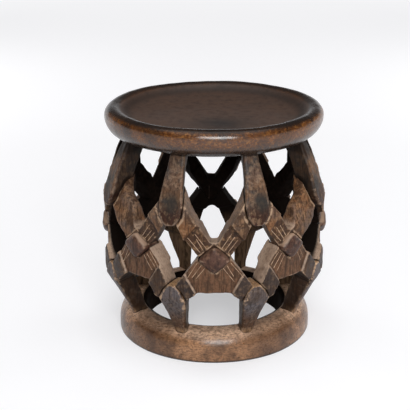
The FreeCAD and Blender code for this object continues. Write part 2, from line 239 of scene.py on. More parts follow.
@dataclass(frozen=True)
class WaxedCarving:
    """Dark hardwood, carved with knife and adze, then smoked, waxed and worn by handling.

    The carve attribute gives the places: red is a worn edge, on the lip above a boss also a
    painted highlight, and high on the front hanging pods painted light; green a hollow, joint or
    underside with grime and painted shade in it, and on the seat the darker crest and slope;
    blue the part's second zone; alpha the faces turned from the light and the hand, sooted black
    and painted with shade. The other attribute gives the faces that look up, painted pale for
    light from above as well as rubbed bare by hands, the foot pods' heels, and on the seat, the
    hanging pods and the base the places of a dark patch, on the base wax and painted shade. The
    second zone is rougher by zone_rough. Pores and fibres are drawn about three times coarser
    than real ones, which are too fine to show.
    """

    name: str
    body: str
    stains: tuple[Stain, ...]
    cloud_mm: float = 70.0
    blotch_mm: float = 24.0
    mottle_mm: float = 8.0
    speckle_mm: float = 3.4
    fibre_mm: float = 3.0
    fibre_stretch: float = 0.1
    rough_low: float = 0.4
    rough_high: float = 0.62
    zone_rough: float = 0.0
    bump_mm: float = 0.5
    bump_strength: float = 0.6
    mottle_height: float = 2.0
    shine: float = 0.22
    ior: float = 1.48
    cloud_detail: float = 3.0
    blotch_detail: float = 4.0
    mottle_detail: float = 5.0
    speckle_detail: float = 4.0
    fibre_detail: float = 3.0
    pattern_rough: float = 0.62
    pattern_twist: float = 0.2
    scuff: Span = (0.4, 0.58)
    gloss: Span = (0.35, 0.65)

    def patterns(self, tree: bpy.types.NodeTree) -> dict[Mask, bpy.types.NodeSocket]:
        """Lays out the wood's patterns and the marks of the carve attribute.

        Args:
            tree: Node tree of the material.

        Returns:
            The value of each mask.
        """
        place = add_node(tree, "ShaderNodeTexCoord").outputs["Object"]
        along = add_node(
            tree, "ShaderNodeMapping", {"Vector": place, "Scale": (1.0, 1.0, self.fibre_stretch)}
        ).outputs["Vector"]
        twist = self.pattern_twist
        sizes = (
            (Mask.CLOUD, place, self.cloud_mm, self.cloud_detail, twist),
            (Mask.BLOTCH, place, self.blotch_mm, self.blotch_detail, twist),
            (Mask.MOTTLE, place, self.mottle_mm, self.mottle_detail, twist),
            (Mask.SPECKLE, place, self.speckle_mm, self.speckle_detail, 0.0),
            (Mask.FIBRE, along, self.fibre_mm, self.fibre_detail, 0.0),
        )
        values = {}
        for mask, spot, size, detail, twisted in sizes:
            values[mask] = add_node(
                tree, "ShaderNodeTexNoise",
                {"Vector": spot, "Scale": per_mm(size), "Detail": detail,
                 "Roughness": self.pattern_rough, "Distortion": twisted},
            ).outputs["Fac"]
        carve = add_node(tree, "ShaderNodeAttribute", attribute_name=CARVE)
        marks = add_node(tree, "ShaderNodeSeparateColor", {"Color": carve.outputs["Color"]})
        scuff = add_node(
            tree, "ShaderNodeMapRange",
            {"Value": values[Mask.MOTTLE], "From Min": self.scuff[0], "From Max": self.scuff[1]},
        ).outputs["Result"]
        values[Mask.EDGE] = add_node(
            tree, "ShaderNodeMath", {0: marks.outputs["Red"], 1: scuff}, operation="MULTIPLY"
        ).outputs["Value"]
        values[Mask.HOLLOW] = marks.outputs["Green"]
        values[Mask.ZONE] = marks.outputs["Blue"]
        values[Mask.SHADE] = carve.outputs["Alpha"]
        values[Mask.RUB] = add_node(
            tree, "ShaderNodeAttribute", attribute_name=RUB
        ).outputs["Fac"]
        return values

    def material(self) -> bpy.types.Material:
        """Builds the finish as a node material.

        Returns:
            The material, on Object coordinates and the carve attribute.
        """
        material = blank_material(self.name)
        tree = material.node_tree
        values = self.patterns(tree)
        colour: Any = linear(self.body)
        for stain in self.stains:
            share = add_node(
                tree, "ShaderNodeMapRange",
                {"Value": values[stain.mask], "From Min": stain.start, "From Max": stain.end,
                 "To Max": stain.amount},
            ).outputs["Result"]
            colour = add_node(
                tree, "ShaderNodeMix",
                {MixPin.FACTOR: share, MixPin.A: colour, MixPin.B: linear(stain.hue)},
                data_type="RGBA",
            ).outputs[MixPin.RESULT]
        rough = add_node(
            tree, "ShaderNodeMapRange",
            {"Value": values[Mask.MOTTLE], "From Min": self.gloss[0], "From Max": self.gloss[1],
             "To Min": self.rough_low, "To Max": self.rough_high},
        ).outputs["Result"]
        rough = add_node(
            tree, "ShaderNodeMath", {0: values[Mask.ZONE], 1: self.zone_rough, 2: rough},
            operation="MULTIPLY_ADD",
        ).outputs["Value"]
        height = add_node(
            tree, "ShaderNodeMath",
            {0: values[Mask.MOTTLE], 1: self.mottle_height, 2: values[Mask.FIBRE]},
            operation="MULTIPLY_ADD",
        ).outputs["Value"]
        bump = add_node(
            tree, "ShaderNodeBump",
            {"Strength": self.bump_strength, "Distance": self.bump_mm * MM, "Height": height},
        ).outputs["Normal"]
        surface = add_node(
            tree, "ShaderNodeBsdfPrincipled",
            {"Base Color": colour, "Roughness": rough, "Normal": bump, "IOR": self.ior,
             "Specular IOR Level": self.shine},
        ).outputs["BSDF"]
        add_node(tree, "ShaderNodeOutputMaterial", {"Surface": surface})
        return material


SOOT_SHADE_HUE = "#120b07"
# Soot and painted shade creep round the edges from the inside of the stool.
SOOT_SHADE_STAIN = Stain(Mask.SHADE, 0.1, 0.55, 1.0, SOOT_SHADE_HUE)
# Old wax and dirt stay in the joints and hollows; painted shade darkens them too, and the faces
# under overhangs.
DIRT_SHADE_STAIN = Stain(Mask.HOLLOW, 0.1, 0.9, 0.88, "#160c06")
# Faces that look up are painted pale and grey, for light from above as well as wood rubbed down,
# with brown left in patches and streaks.
LIT_AND_RUBBED_LEDGE_STAINS = (
    Stain(Mask.RUB, 0.1, 0.9, 0.88, "#b89e89"), Stain(Mask.BLOTCH, 0.48, 0.66, 0.4, "#664a36"),
    Stain(Mask.FIBRE, 0.48, 0.66, 0.4, "#3a281b"),
)
# Pores and dark fibres show as specks and short upright streaks.
PORE_STAINS = (
    Stain(Mask.SPECKLE, 0.52, 0.68, 0.48, "#20130b"), Stain(Mask.FIBRE, 0.48, 0.63, 0.66, "#20130b")
)

# Kites beside the hanging pods are rubbed orange-brown, the necks behind them keep the dark wax.
UPPER_ARM_WOOD = WaxedCarving(
    "knife-carved upper arm wood", body="#80583a",
    stains=(
        Stain(Mask.CLOUD, 0.44, 0.56, 0.8, "#64554c"),
        Stain(Mask.ZONE, 0.2, 0.9, 0.88, "#3b271b"),
        Stain(Mask.BLOTCH, 0.49, 0.6, 0.88, "#2e1d13"),
        Stain(Mask.MOTTLE, 0.5, 0.62, 0.6, "#a27d5d"),
        *PORE_STAINS, *LIT_AND_RUBBED_LEDGE_STAINS,
        Stain(Mask.EDGE, 0.05, 0.6, 0.8, "#b99b80"),
        DIRT_SHADE_STAIN, SOOT_SHADE_STAIN,
    ),
)
# The lower arms' end faces are rubbed blue-grey, the web under the boss is brown.
LOWER_ARM_WOOD = WaxedCarving(
    "knife-carved lower arm wood", body="#342c2a",
    stains=(
        Stain(Mask.CLOUD, 0.44, 0.56, 0.5, "#4a3b33"),
        Stain(Mask.ZONE, 0.2, 0.9, 0.95, "#6f4e38"),
        Stain(Mask.BLOTCH, 0.48, 0.6, 0.8, "#372920"),
        Stain(Mask.MOTTLE, 0.5, 0.62, 0.42, "#836852"),
        *PORE_STAINS, *LIT_AND_RUBBED_LEDGE_STAINS,
        Stain(Mask.EDGE, 0.05, 0.6, 0.75, "#b99b80"),
        DIRT_SHADE_STAIN, SOOT_SHADE_STAIN,
    ),
)
# The bosses stand furthest out and are rounded and darkened by hands; their faces that look up are
# painted pale, for light from above as well as rubbing.
BOSS_WOOD = WaxedCarving(
    "hand-darkened boss wood", body="#4a2e23", rough_low=0.34, rough_high=0.5, shine=0.3,
    stains=(
        Stain(Mask.CLOUD, 0.44, 0.56, 0.7, "#63463a"),
        Stain(Mask.BLOTCH, 0.49, 0.6, 0.8, "#321e17"),
        Stain(Mask.MOTTLE, 0.51, 0.63, 0.55, "#88664f"),
        *PORE_STAINS,
        Stain(Mask.RUB, 0.1, 0.9, 0.7, "#b0947d"),
        Stain(Mask.EDGE, 0.05, 0.7, 0.55, "#a3866f"),
        DIRT_SHADE_STAIN, SOOT_SHADE_STAIN,
    ),
)
# Hanging pods are brown, with a bruise above a reddish dark tip; painted shade darkens them under
# the seat, and painted light makes the front ones paler high on their outer faces.
HANGING_POD_WOOD = WaxedCarving(
    "smoked hanging pod wood", body="#614b3e",
    stains=(
        Stain(Mask.CLOUD, 0.44, 0.56, 0.8, "#6f5038"),
        Stain(Mask.BLOTCH, 0.48, 0.6, 0.8, "#42403e"),
        Stain(Mask.ZONE, 0.1, 0.9, 0.9, "#371c11"),
        Stain(Mask.MOTTLE, 0.5, 0.62, 0.55, "#92755b"),
        *PORE_STAINS,
        Stain(Mask.RUB, 0.1, 0.8, 0.85, "#252422"),
        Stain(Mask.EDGE, 0.05, 0.6, 0.6, "#a58b76"),
        DIRT_SHADE_STAIN, SOOT_SHADE_STAIN,
    ),
)
# Foot pods are rubbed blue-grey, browner towards the base, with tan edges round the tip; faces that
# look up are tan, painted light from above as well as rubbing, and so are the heels.
FOOT_POD_WOOD = WaxedCarving(
    "rubbed foot pod wood", body="#655d5e",
    stains=(
        Stain(Mask.CLOUD, 0.44, 0.56, 0.6, "#5c4e47"),
        Stain(Mask.ZONE, 0.1, 0.9, 0.92, "#583a23"),
        Stain(Mask.BLOTCH, 0.5, 0.62, 0.65, "#41322a"),
        Stain(Mask.RUB, 0.1, 0.9, 0.85, "#b9926c"),
        Stain(Mask.MOTTLE, 0.51, 0.64, 0.45, "#8a7565"),
        *PORE_STAINS,
        Stain(Mask.EDGE, 0.05, 0.55, 0.85, "#c9a88a"),
        DIRT_SHADE_STAIN, SOOT_SHADE_STAIN,
    ),
)
# The rim is dark wax rubbed through to orange streaks that run round it, the dish is polished
# grey-brown by sitting, with a dark patch towards the front.
SEAT_WOOD = WaxedCarving(
    "sat-polished seat wood", body="#472409", rough_low=0.23, rough_high=0.31, zone_rough=0.3,
    blotch_mm=36.0, mottle_mm=12.0, fibre_mm=5.0, fibre_stretch=4.0, bump_mm=0.06, shine=0.74,
    stains=(
        Stain(Mask.CLOUD, 0.42, 0.6, 0.8, "#643712"),
        Stain(Mask.FIBRE, 0.47, 0.64, 0.62, "#8a5522"),
        Stain(Mask.SPECKLE, 0.5, 0.64, 0.6, "#9c6a35"),
        Stain(Mask.BLOTCH, 0.46, 0.62, 0.8, "#1e1009"),
        # Painted shade on the rim's underside.
        Stain(Mask.SHADE, 0.0, 1.0, 0.9, "#221711"),
        Stain(Mask.ZONE, 0.1, 0.9, 0.9, "#4f3c32"),
        Stain(Mask.MOTTLE, 0.5, 0.68, 0.5, "#1d110a"),
        # Darker on the rim's crest and on the dish's inner slope.
        Stain(Mask.HOLLOW, 0.0, 1.0, 0.9, "#180e09"),
        Stain(Mask.RUB, 0.0, 1.0, 0.85, "#1c1714"),
    ),
)
# The base is the warmest wood, rubbed tan on its top and darkened in soft patches by wax and painted
# shade.
BASE_WOOD = WaxedCarving(
    "rubbed base ring wood", body="#b58661", rough_low=0.26, rough_high=0.36, blotch_mm=34.0,
    mottle_mm=10.0, fibre_mm=6.0, fibre_stretch=4.0, bump_mm=0.1, shine=0.5,
    stains=(
        Stain(Mask.CLOUD, 0.46, 0.6, 0.5, "#5c3a22"),
        Stain(Mask.BLOTCH, 0.46, 0.62, 0.75, "#4b301e"),
        Stain(Mask.RUB, 0.0, 1.0, 0.5, "#3c251a"),
        Stain(Mask.ZONE, 0.1, 0.9, 0.86, "#e0bb9e"),
        Stain(Mask.MOTTLE, 0.48, 0.66, 0.55, "#6d4a31"),
        Stain(Mask.SPECKLE, 0.52, 0.65, 0.55, "#2f1d12"),
        Stain(Mask.FIBRE, 0.47, 0.63, 0.6, "#3d2613"),
        DIRT_SHADE_STAIN, SOOT_SHADE_STAIN,
    ),
)


@dataclass(frozen=True)
class BareWood:
    """Wood without wax: two tones in a fine grain, and hardly any shine.

    Smoke and painted shade may cover it from a height on, given in metres.
    """

    name: str
    face: str
    grain: str
    grain_mm: float
    roughness: float
    shine: float
    grain_stretch: float = 1.0
    grain_detail: float = 4.0
    grain_span: Span = (0.42, 0.7)
    smoke_shade: str = ""
    smoke_shade_span: Span = (0.1, 0.15)

    def material(self) -> bpy.types.Material:
        """Builds the finish as a node material.

        Returns:
            The material, on Object coordinates.
        """
        material = blank_material(self.name)
        tree = material.node_tree
        place = add_node(tree, "ShaderNodeTexCoord").outputs["Object"]
        along = add_node(
            tree, "ShaderNodeMapping", {"Vector": place, "Scale": (1.0, 1.0, self.grain_stretch)}
        ).outputs["Vector"]
        grain = add_node(
            tree, "ShaderNodeTexNoise",
            {"Vector": along, "Scale": per_mm(self.grain_mm), "Detail": self.grain_detail},
        ).outputs["Fac"]
        layers = [(grain, self.grain_span, self.grain)]
        if self.smoke_shade:
            height = add_node(tree, "ShaderNodeSeparateXYZ", {"Vector": place}).outputs["Z"]
            layers.append((height, self.smoke_shade_span, self.smoke_shade))
        colour: Any = linear(self.face)
        for value, (start, end), hue in layers:
            share = add_node(
                tree, "ShaderNodeMapRange", {"Value": value, "From Min": start, "From Max": end}
            ).outputs["Result"]
            colour = add_node(
                tree, "ShaderNodeMix",
                {MixPin.FACTOR: share, MixPin.A: colour, MixPin.B: linear(hue)}, data_type="RGBA",
            ).outputs[MixPin.RESULT]
        surface = add_node(
            tree, "ShaderNodeBsdfPrincipled",
            {"Base Color": colour, "Roughness": self.roughness, "Specular IOR Level": self.shine},
        ).outputs["BSDF"]
        add_node(tree, "ShaderNodeOutputMaterial", {"Surface": surface})
        return material


# Raw wood at the bottom of a knife line is paler than the waxed faces around it.
INCISED_WOOD = BareWood(
    "pale incised wood", face="#c3a68b", grain="#7c6049", grain_mm=6.0, roughness=0.7, shine=0.3
)
# The inside of the stool is rough from the adze and black with smoke and painted shade.
SOOT_SHADE_WOOD = BareWood(
    "smoke-blackened inner wood", face=SOOT_SHADE_HUE, grain="#1f1510", grain_mm=9.0, roughness=0.95,
    shine=0.08,
)
# Nearer the floor the smoke has only browned the adzed wood, in upright streaks; higher up, towards
# the seat, smoke and painted shade make it black.
SMOKE_SHADED_WOOD = BareWood(
    "smoke-browned inner wood", face="#6b5440", grain="#291d13", grain_mm=5.0, roughness=0.9,
    shine=0.1, grain_stretch=0.12, smoke_shade=SOOT_SHADE_HUE,
)


def swell(points: np.ndarray, wavelength: float, offset: float) -> np.ndarray:
    """Gives slow random heights, such as a knife leaves on a carved face.

    Args:
        points: Places in metres, one per row.
        wavelength: Distance from swell to swell, in metres.
        offset: Shift of the pattern, which sets one surface apart from the next.

    Returns:
        Heights between about -1 and 1.
    """
    spots = points / wavelength + offset
    return np.array([noise.noise(spot) for spot in spots])


def smooth_step(values: np.ndarray, start: float, end: float) -> np.ndarray:
    """Gives 0 before start, 1 after end and an even slope between them."""
    part = np.clip((values - start) / (end - start), 0.0, 1.0)
    return part * part * (3.0 - 2.0 * part)


def outward_at(points: np.ndarray) -> np.ndarray:
    """Gives the level direction from the stool's axis to each point."""
    flat = points * np.array([1.0, 1.0, 0.0])
    return flat / np.maximum(np.linalg.norm(flat, axis=1), MM)[:, None]


def radius_of(points: np.ndarray) -> np.ndarray:
    """Gives each point's distance from the stool's axis."""
    return np.hypot(points[:, 0], points[:, 1])


def turn_of(points: np.ndarray, azimuth: float) -> np.ndarray:
    """Gives each point's way round from a direction, up to half a turn either way."""
    turn = np.arctan2(points[:, 0], -points[:, 1]) - azimuth
    return (turn + math.pi) % (2 * math.pi) - math.pi


def facing_out(points: np.ndarray, normals: np.ndarray) -> np.ndarray:
    """Gives 1 where the surface looks straight out from the axis, and -1 where it looks in."""
    return (normals * outward_at(points)).sum(axis=1)


def inner_shade(points: np.ndarray, normals: np.ndarray) -> np.ndarray:
    """Finds the faces that look towards the stool's axis.

    Args:
        points: Places in metres.
        normals: Outward directions of the surface there.

    Returns:
        1 where a face looks inwards, 0 where it looks out.
    """
    return smooth_step(-facing_out(points, normals), *FACE_IN)


def deep_shade(points: np.ndarray, normals: np.ndarray, outer: float) -> np.ndarray:
    """Finds the inner faces, and on the stool's far half the deep sides, which are sooted and
    painted with shade too.

    Args:
        points: Places in metres.
        normals: Outward directions of the surface there.
        outer: Radius of the lattice's outer faces, in metres.

    Returns:
        1 where a face is sooted black and painted with shade, 0 where it is clean.
    """
    radius = radius_of(points)
    start, end = (depth * MM for depth in SOOT_SHADE_DEPTH_MM)
    deep = smooth_step(outer - radius, start, end)
    deep *= 1.0 - smooth_step(facing_out(points, normals), *SOOT_SHADE_FACING)
    # Painted shade: the deep sides go black on the stool's far half only.
    far = smooth_step(points[:, 1] / radius, *FAR_HALF)
    return np.maximum(inner_shade(points, normals), deep * far)


def joint_gap(points: np.ndarray, nodes: Sequence[str], reach: float) -> np.ndarray:
    """Measures how far each place is from the joint with other members.

    Args:
        points: Places in metres.
        nodes: CAD nodes of the members.
        reach: Distance at which the joint is felt no more, in millimetres.

    Returns:
        Distance in millimetres, reach at most.
    """
    corners: list[Vector] = []
    faces: list[list[int]] = []
    for node in nodes:
        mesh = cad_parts[node].data
        shift = len(corners)
        corners += [v.co.copy() for v in mesh.vertices]
        faces += [[shift + k for k in face.vertices] for face in mesh.polygons]
    members = BVHTree.FromPolygons(corners, faces)
    found = [members.find_nearest(spot, reach * MM)[3] for spot in points]
    return np.array([reach if distance is None else distance / MM for distance in found])


def joint_dirt_and_shade(points: np.ndarray, gap: np.ndarray, reach: float) -> np.ndarray:
    """Lays grime and painted shade along a joint, thick and thin by turns.

    Args:
        points: Places in metres.
        gap: Distance of each from the joint, in millimetres.
        reach: Distance at which grime and shade end, in millimetres.

    Returns:
        1 where grime and shade are thickest, 0 away from the joint.
    """
    patches = smooth_step(swell(points, DIRT_SHADE_PATCH_MM * MM, DIRT_SHADE_PATCH_SHIFT), *DIRT_SHADE_PATCH)
    patchy = DIRT_SHADE_LEAST + (1.0 - DIRT_SHADE_LEAST) * patches
    return (1.0 - smooth_step(gap, DIRT_SHADE_START_MM, reach)) * patchy


class Carving:
    """A mesh under the knife: its points, how they join, and the marks left on them."""

    def __init__(self, mesh: bpy.types.Mesh) -> None:
        """Reads the mesh into arrays.

        Args:
            mesh: The mesh to carve.
        """
        self.mesh = mesh
        count = len(mesh.vertices)
        self.points = np.empty(count * 3)
        mesh.vertices.foreach_get("co", self.points)
        self.points = self.points.reshape(-1, 3)
        self.edges = np.empty(len(mesh.edges) * 2, dtype=np.int32)
        mesh.edges.foreach_get("vertices", self.edges)
        self.edges = self.edges.reshape(-1, 2)
        self.valence = np.maximum(np.bincount(self.edges.ravel(), minlength=count), 1)

    @classmethod
    def from_nodes(cls, name: str, nodes: Sequence[str], voxel: float) -> "Carving":
        """Joins copies of CAD nodes into one closed skin.

        Args:
            name: Name of the new mesh.
            nodes: CAD nodes that the skin stands for.
            voxel: Cell of the skin, in millimetres.

        Returns:
            The joined carving.
        """
        shell = bmesh.new()
        for node in nodes:
            shell.from_mesh(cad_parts[node].data)
        bmesh.ops.remove_doubles(shell, verts=shell.verts, dist=WELD_MM * MM)
        rough = bpy.data.meshes.new(name)
        shell.to_mesh(rough)
        shell.free()
        holder = in_scene(name, rough)
        remesh = holder.modifiers.new("skin", "REMESH")
        remesh.mode = "VOXEL"
        remesh.voxel_size = voxel * MM
        mesh = settled(holder, name)
        bpy.data.objects.remove(holder)
        return cls(mesh)

    def mean_of_neighbours(self, values: np.ndarray) -> np.ndarray:
        """Averages a value or a vector over the points joined to each point.

        Args:
            values: One value or vector for each point.

        Returns:
            The averages, in the same shape.
        """
        flat = values.reshape(len(values), -1)
        start, end = self.edges.T
        count = len(values)
        sums = [
            np.bincount(start, flat[end, k], count) + np.bincount(end, flat[start, k], count)
            for k in range(flat.shape[1])
        ]
        return (np.stack(sums, axis=1) / self.valence[:, None]).reshape(values.shape)

    def soften(self, passes: int, share: np.ndarray | None = None) -> None:
        """Rounds the edges by sanding each point towards its neighbours.

        Args:
            passes: Number of strokes.
            share: How far each point follows, from 0 to 1. All follow fully if it is left out.
        """
        step = SANDING if share is None else SANDING * share[:, None]
        for _ in range(passes):
            self.points += step * (self.mean_of_neighbours(self.points) - self.points)

    def write(self) -> None:
        """Puts the points into the mesh."""
        self.mesh.vertices.foreach_set("co", self.points.ravel())
        self.mesh.update()

    def normals(self) -> np.ndarray:
        """Finds the outward direction at each point.

        Returns:
            One direction per row.
        """
        self.write()
        result = np.empty(len(self.points) * 3)
        self.mesh.vertex_normals.foreach_get("vector", result)
        return result.reshape(-1, 3)

    def uneven(self, grow: float, height: float, wavelength: float, offset: float) -> None:
        """Swells the skin a little and takes shallow cuts out of it.

        Args:
            grow: Even swelling, in millimetres, so that neighbours overlap.
            height: Depth of the cuts, in millimetres.
            wavelength: Distance from cut to cut, in millimetres.
            offset: Shift of the pattern.
        """
        cut = height * (swell(self.points, wavelength * MM, offset) - 0.5)
        self.points += self.normals() * ((grow + cut) * MM)[:, None]

    def warp(self, reach: float, wavelength: float) -> None:
        """Bends the lines a little, alike for all pieces, as they run on a stool made by hand.

        Args:
            reach: Largest shift, in millimetres.
            wavelength: Distance from bend to bend, in millimetres.
        """
        spots = self.points / (wavelength * MM)
        self.points += np.array([noise.noise_vector(spot) for spot in spots]) * (reach * MM)

    def bend(self) -> np.ndarray:
        """Finds the curvature at each point.

        Returns:
            Curvatures in 1/mm, above zero on an outer edge.
        """
        inward = self.mean_of_neighbours(self.points) - self.points
        start, end = self.points[self.edges[:, 0]], self.points[self.edges[:, 1]]
        squared = (np.linalg.norm(start - end, axis=1) ** 2).mean()
        # The mean lies inwards by a quarter of the squared spacing times the two curvatures' sum.
        bend = -4.0 * (inward * self.normals()).sum(axis=1) / squared * MM
        for _ in range(2):
            bend += SANDING * (self.mean_of_neighbours(bend) - bend)
        return bend

    def keep_within(self, low: Sequence[float], high: Sequence[float]) -> None:
        """Trims what stands outside a box."""
        self.points = np.clip(self.points, np.array(low), np.array(high))
        self.write()


def settled(holder: bpy.types.Object, name: str) -> bpy.types.Mesh:
    """Turns an object with modifiers into a plain mesh.

    Args:
        holder: Object whose modifiers are to be settled.
        name: Name of the plain mesh.

    Returns:
        The plain mesh.
    """
    graph = bpy.context.evaluated_depsgraph_get()
    mesh = bpy.data.meshes.new_from_object(holder.evaluated_get(graph))
    mesh.name = name
    return mesh


def mark(mesh: bpy.types.Mesh, marks: np.ndarray) -> None:
    """Writes the carve attribute and the one for pale and dark patches.

    Args:
        mesh: Mesh that gets the marks.
        marks: Worn edge, hollow, zone, shade and patch of each point, from 0 to 1.
    """
    clipped = np.clip(marks, 0.0, 1.0).astype(np.float32)
    layer = mesh.attributes.new(CARVE, "FLOAT_COLOR", "POINT")
    layer.data.foreach_set("color", clipped[:, :-1].ravel())
    layer = mesh.attributes.new(RUB, "FLOAT", "POINT")
    layer.data.foreach_set("value", clipped[:, -1].copy())


def blacken(mesh: bpy.types.Mesh, shade: np.ndarray, slot: int) -> None:
    """Gives the faces that are turned inwards to the black finish of sooted wood and painted shade.

    Args:
        mesh: Mesh with its finishes in place.
        shade: Inner shade of each point, from 0 to 1.
        slot: Number of the black finish, sooted wood and painted shade, on the mesh.
    """
    count = len(mesh.polygons)
    starts = np.empty(count, dtype=np.int32)
    totals = np.empty(count, dtype=np.int32)
    finishes = np.empty(count, dtype=np.int32)
    corners = np.empty(len(mesh.loops), dtype=np.int32)
    mesh.polygons.foreach_get("loop_start", starts)
    mesh.polygons.foreach_get("loop_total", totals)
    mesh.polygons.foreach_get("material_index", finishes)
    mesh.loops.foreach_get("vertex_index", corners)
    mean = np.add.reduceat(shade[corners], starts) / totals
    finishes[(mean > SOOT_SHADE_START) & (finishes == 0)] = slot
    mesh.polygons.foreach_set("material_index", finishes)


def place_piece(
    name: str, mesh: bpy.types.Mesh, materials: Sequence[bpy.types.Material],
    nodes: Sequence[str],
) -> bpy.types.Object:
    """Puts a finished mesh on the stool in place of its CAD nodes.

    Args:
        name: Name of the piece.
        mesh: Its mesh, with its place in its points.
        materials: Its finishes, in slot order. The mesh may hold the first ones already.
        nodes: CAD nodes that the piece stands for.

    Returns:
        The piece.
    """
    for material in materials[len(mesh.materials):]:
        mesh.materials.append(material)
    mesh.shade_smooth()
    piece = in_scene(name, mesh)
    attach(piece, BODY)
    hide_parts(*nodes)
    LOG.info("%s: %d faces for %s", name, len(mesh.polygons), ", ".join(nodes))
    return piece


def lathe(name: str, profile: Sequence[Span], steps: int) -> bpy.types.Mesh:
    """Turns a profile about the stool's axis.

    Args:
        name: Name of the mesh.
        profile: Radius and height pairs in millimetres. Either its ends are on the axis, or
            it closes on itself.
        steps: Number of steps round the axis.

    Returns:
        The closed mesh, with its faces outwards.
    """
    shell = bmesh.new()
    rings: list[list[bmesh.types.BMVert]] = []
    for radius, height in profile:
        if radius < WELD_MM:
            rings.append([shell.verts.new((0.0, 0.0, height * MM))] * steps)
            continue
        turns = [2 * math.pi * k / steps for k in range(steps)]
        rings.append([
            shell.verts.new((radius * MM * math.sin(t), -radius * MM * math.cos(t), height * MM))
            for t in turns
        ])
    pairs = list(zip(rings, rings[1:]))
    if rings[0][0] is not rings[0][1]:
        pairs.append((rings[-1], rings[0]))
    for lower, upper in pairs:
        for k in range(steps):
            corners = [lower[k], lower[(k + 1) % steps], upper[(k + 1) % steps], upper[k]]
            shell.faces.new(list(dict.fromkeys(corners)))
    bmesh.ops.recalc_face_normals(shell, faces=shell.faces)
    mesh = bpy.data.meshes.new(name)
    shell.to_mesh(mesh)
    shell.free()
    return mesh


def arc(
    centre: Span, reach: float, rise: float, start: float, end: float, steps: int
) -> list[Span]:
    """Gives points of a quarter or part of an ellipse in a profile.

    Args:
        centre: Radius and height of its centre, in millimetres.
        reach: Half axis along the radius.
        rise: Half axis along the height.
        start: First angle from the outward direction, in degrees.
        end: Last angle, in degrees.
        steps: Number of chords.

    Returns:
        The points, both ends among them.
    """
    angles = [math.radians(start + (end - start) * k / steps) for k in range(steps + 1)]
    return [(centre[0] + reach * math.cos(a), centre[1] + rise * math.sin(a)) for a in angles]


def run(start: Span, end: Span, steps: int) -> list[Span]:
    """Gives the points of a straight stretch in a profile, without its ends."""
    parts = [k / steps for k in range(1, steps)]
    return [(start[0] + (end[0] - start[0]) * p, start[1] + (end[1] - start[1]) * p) for p in parts]


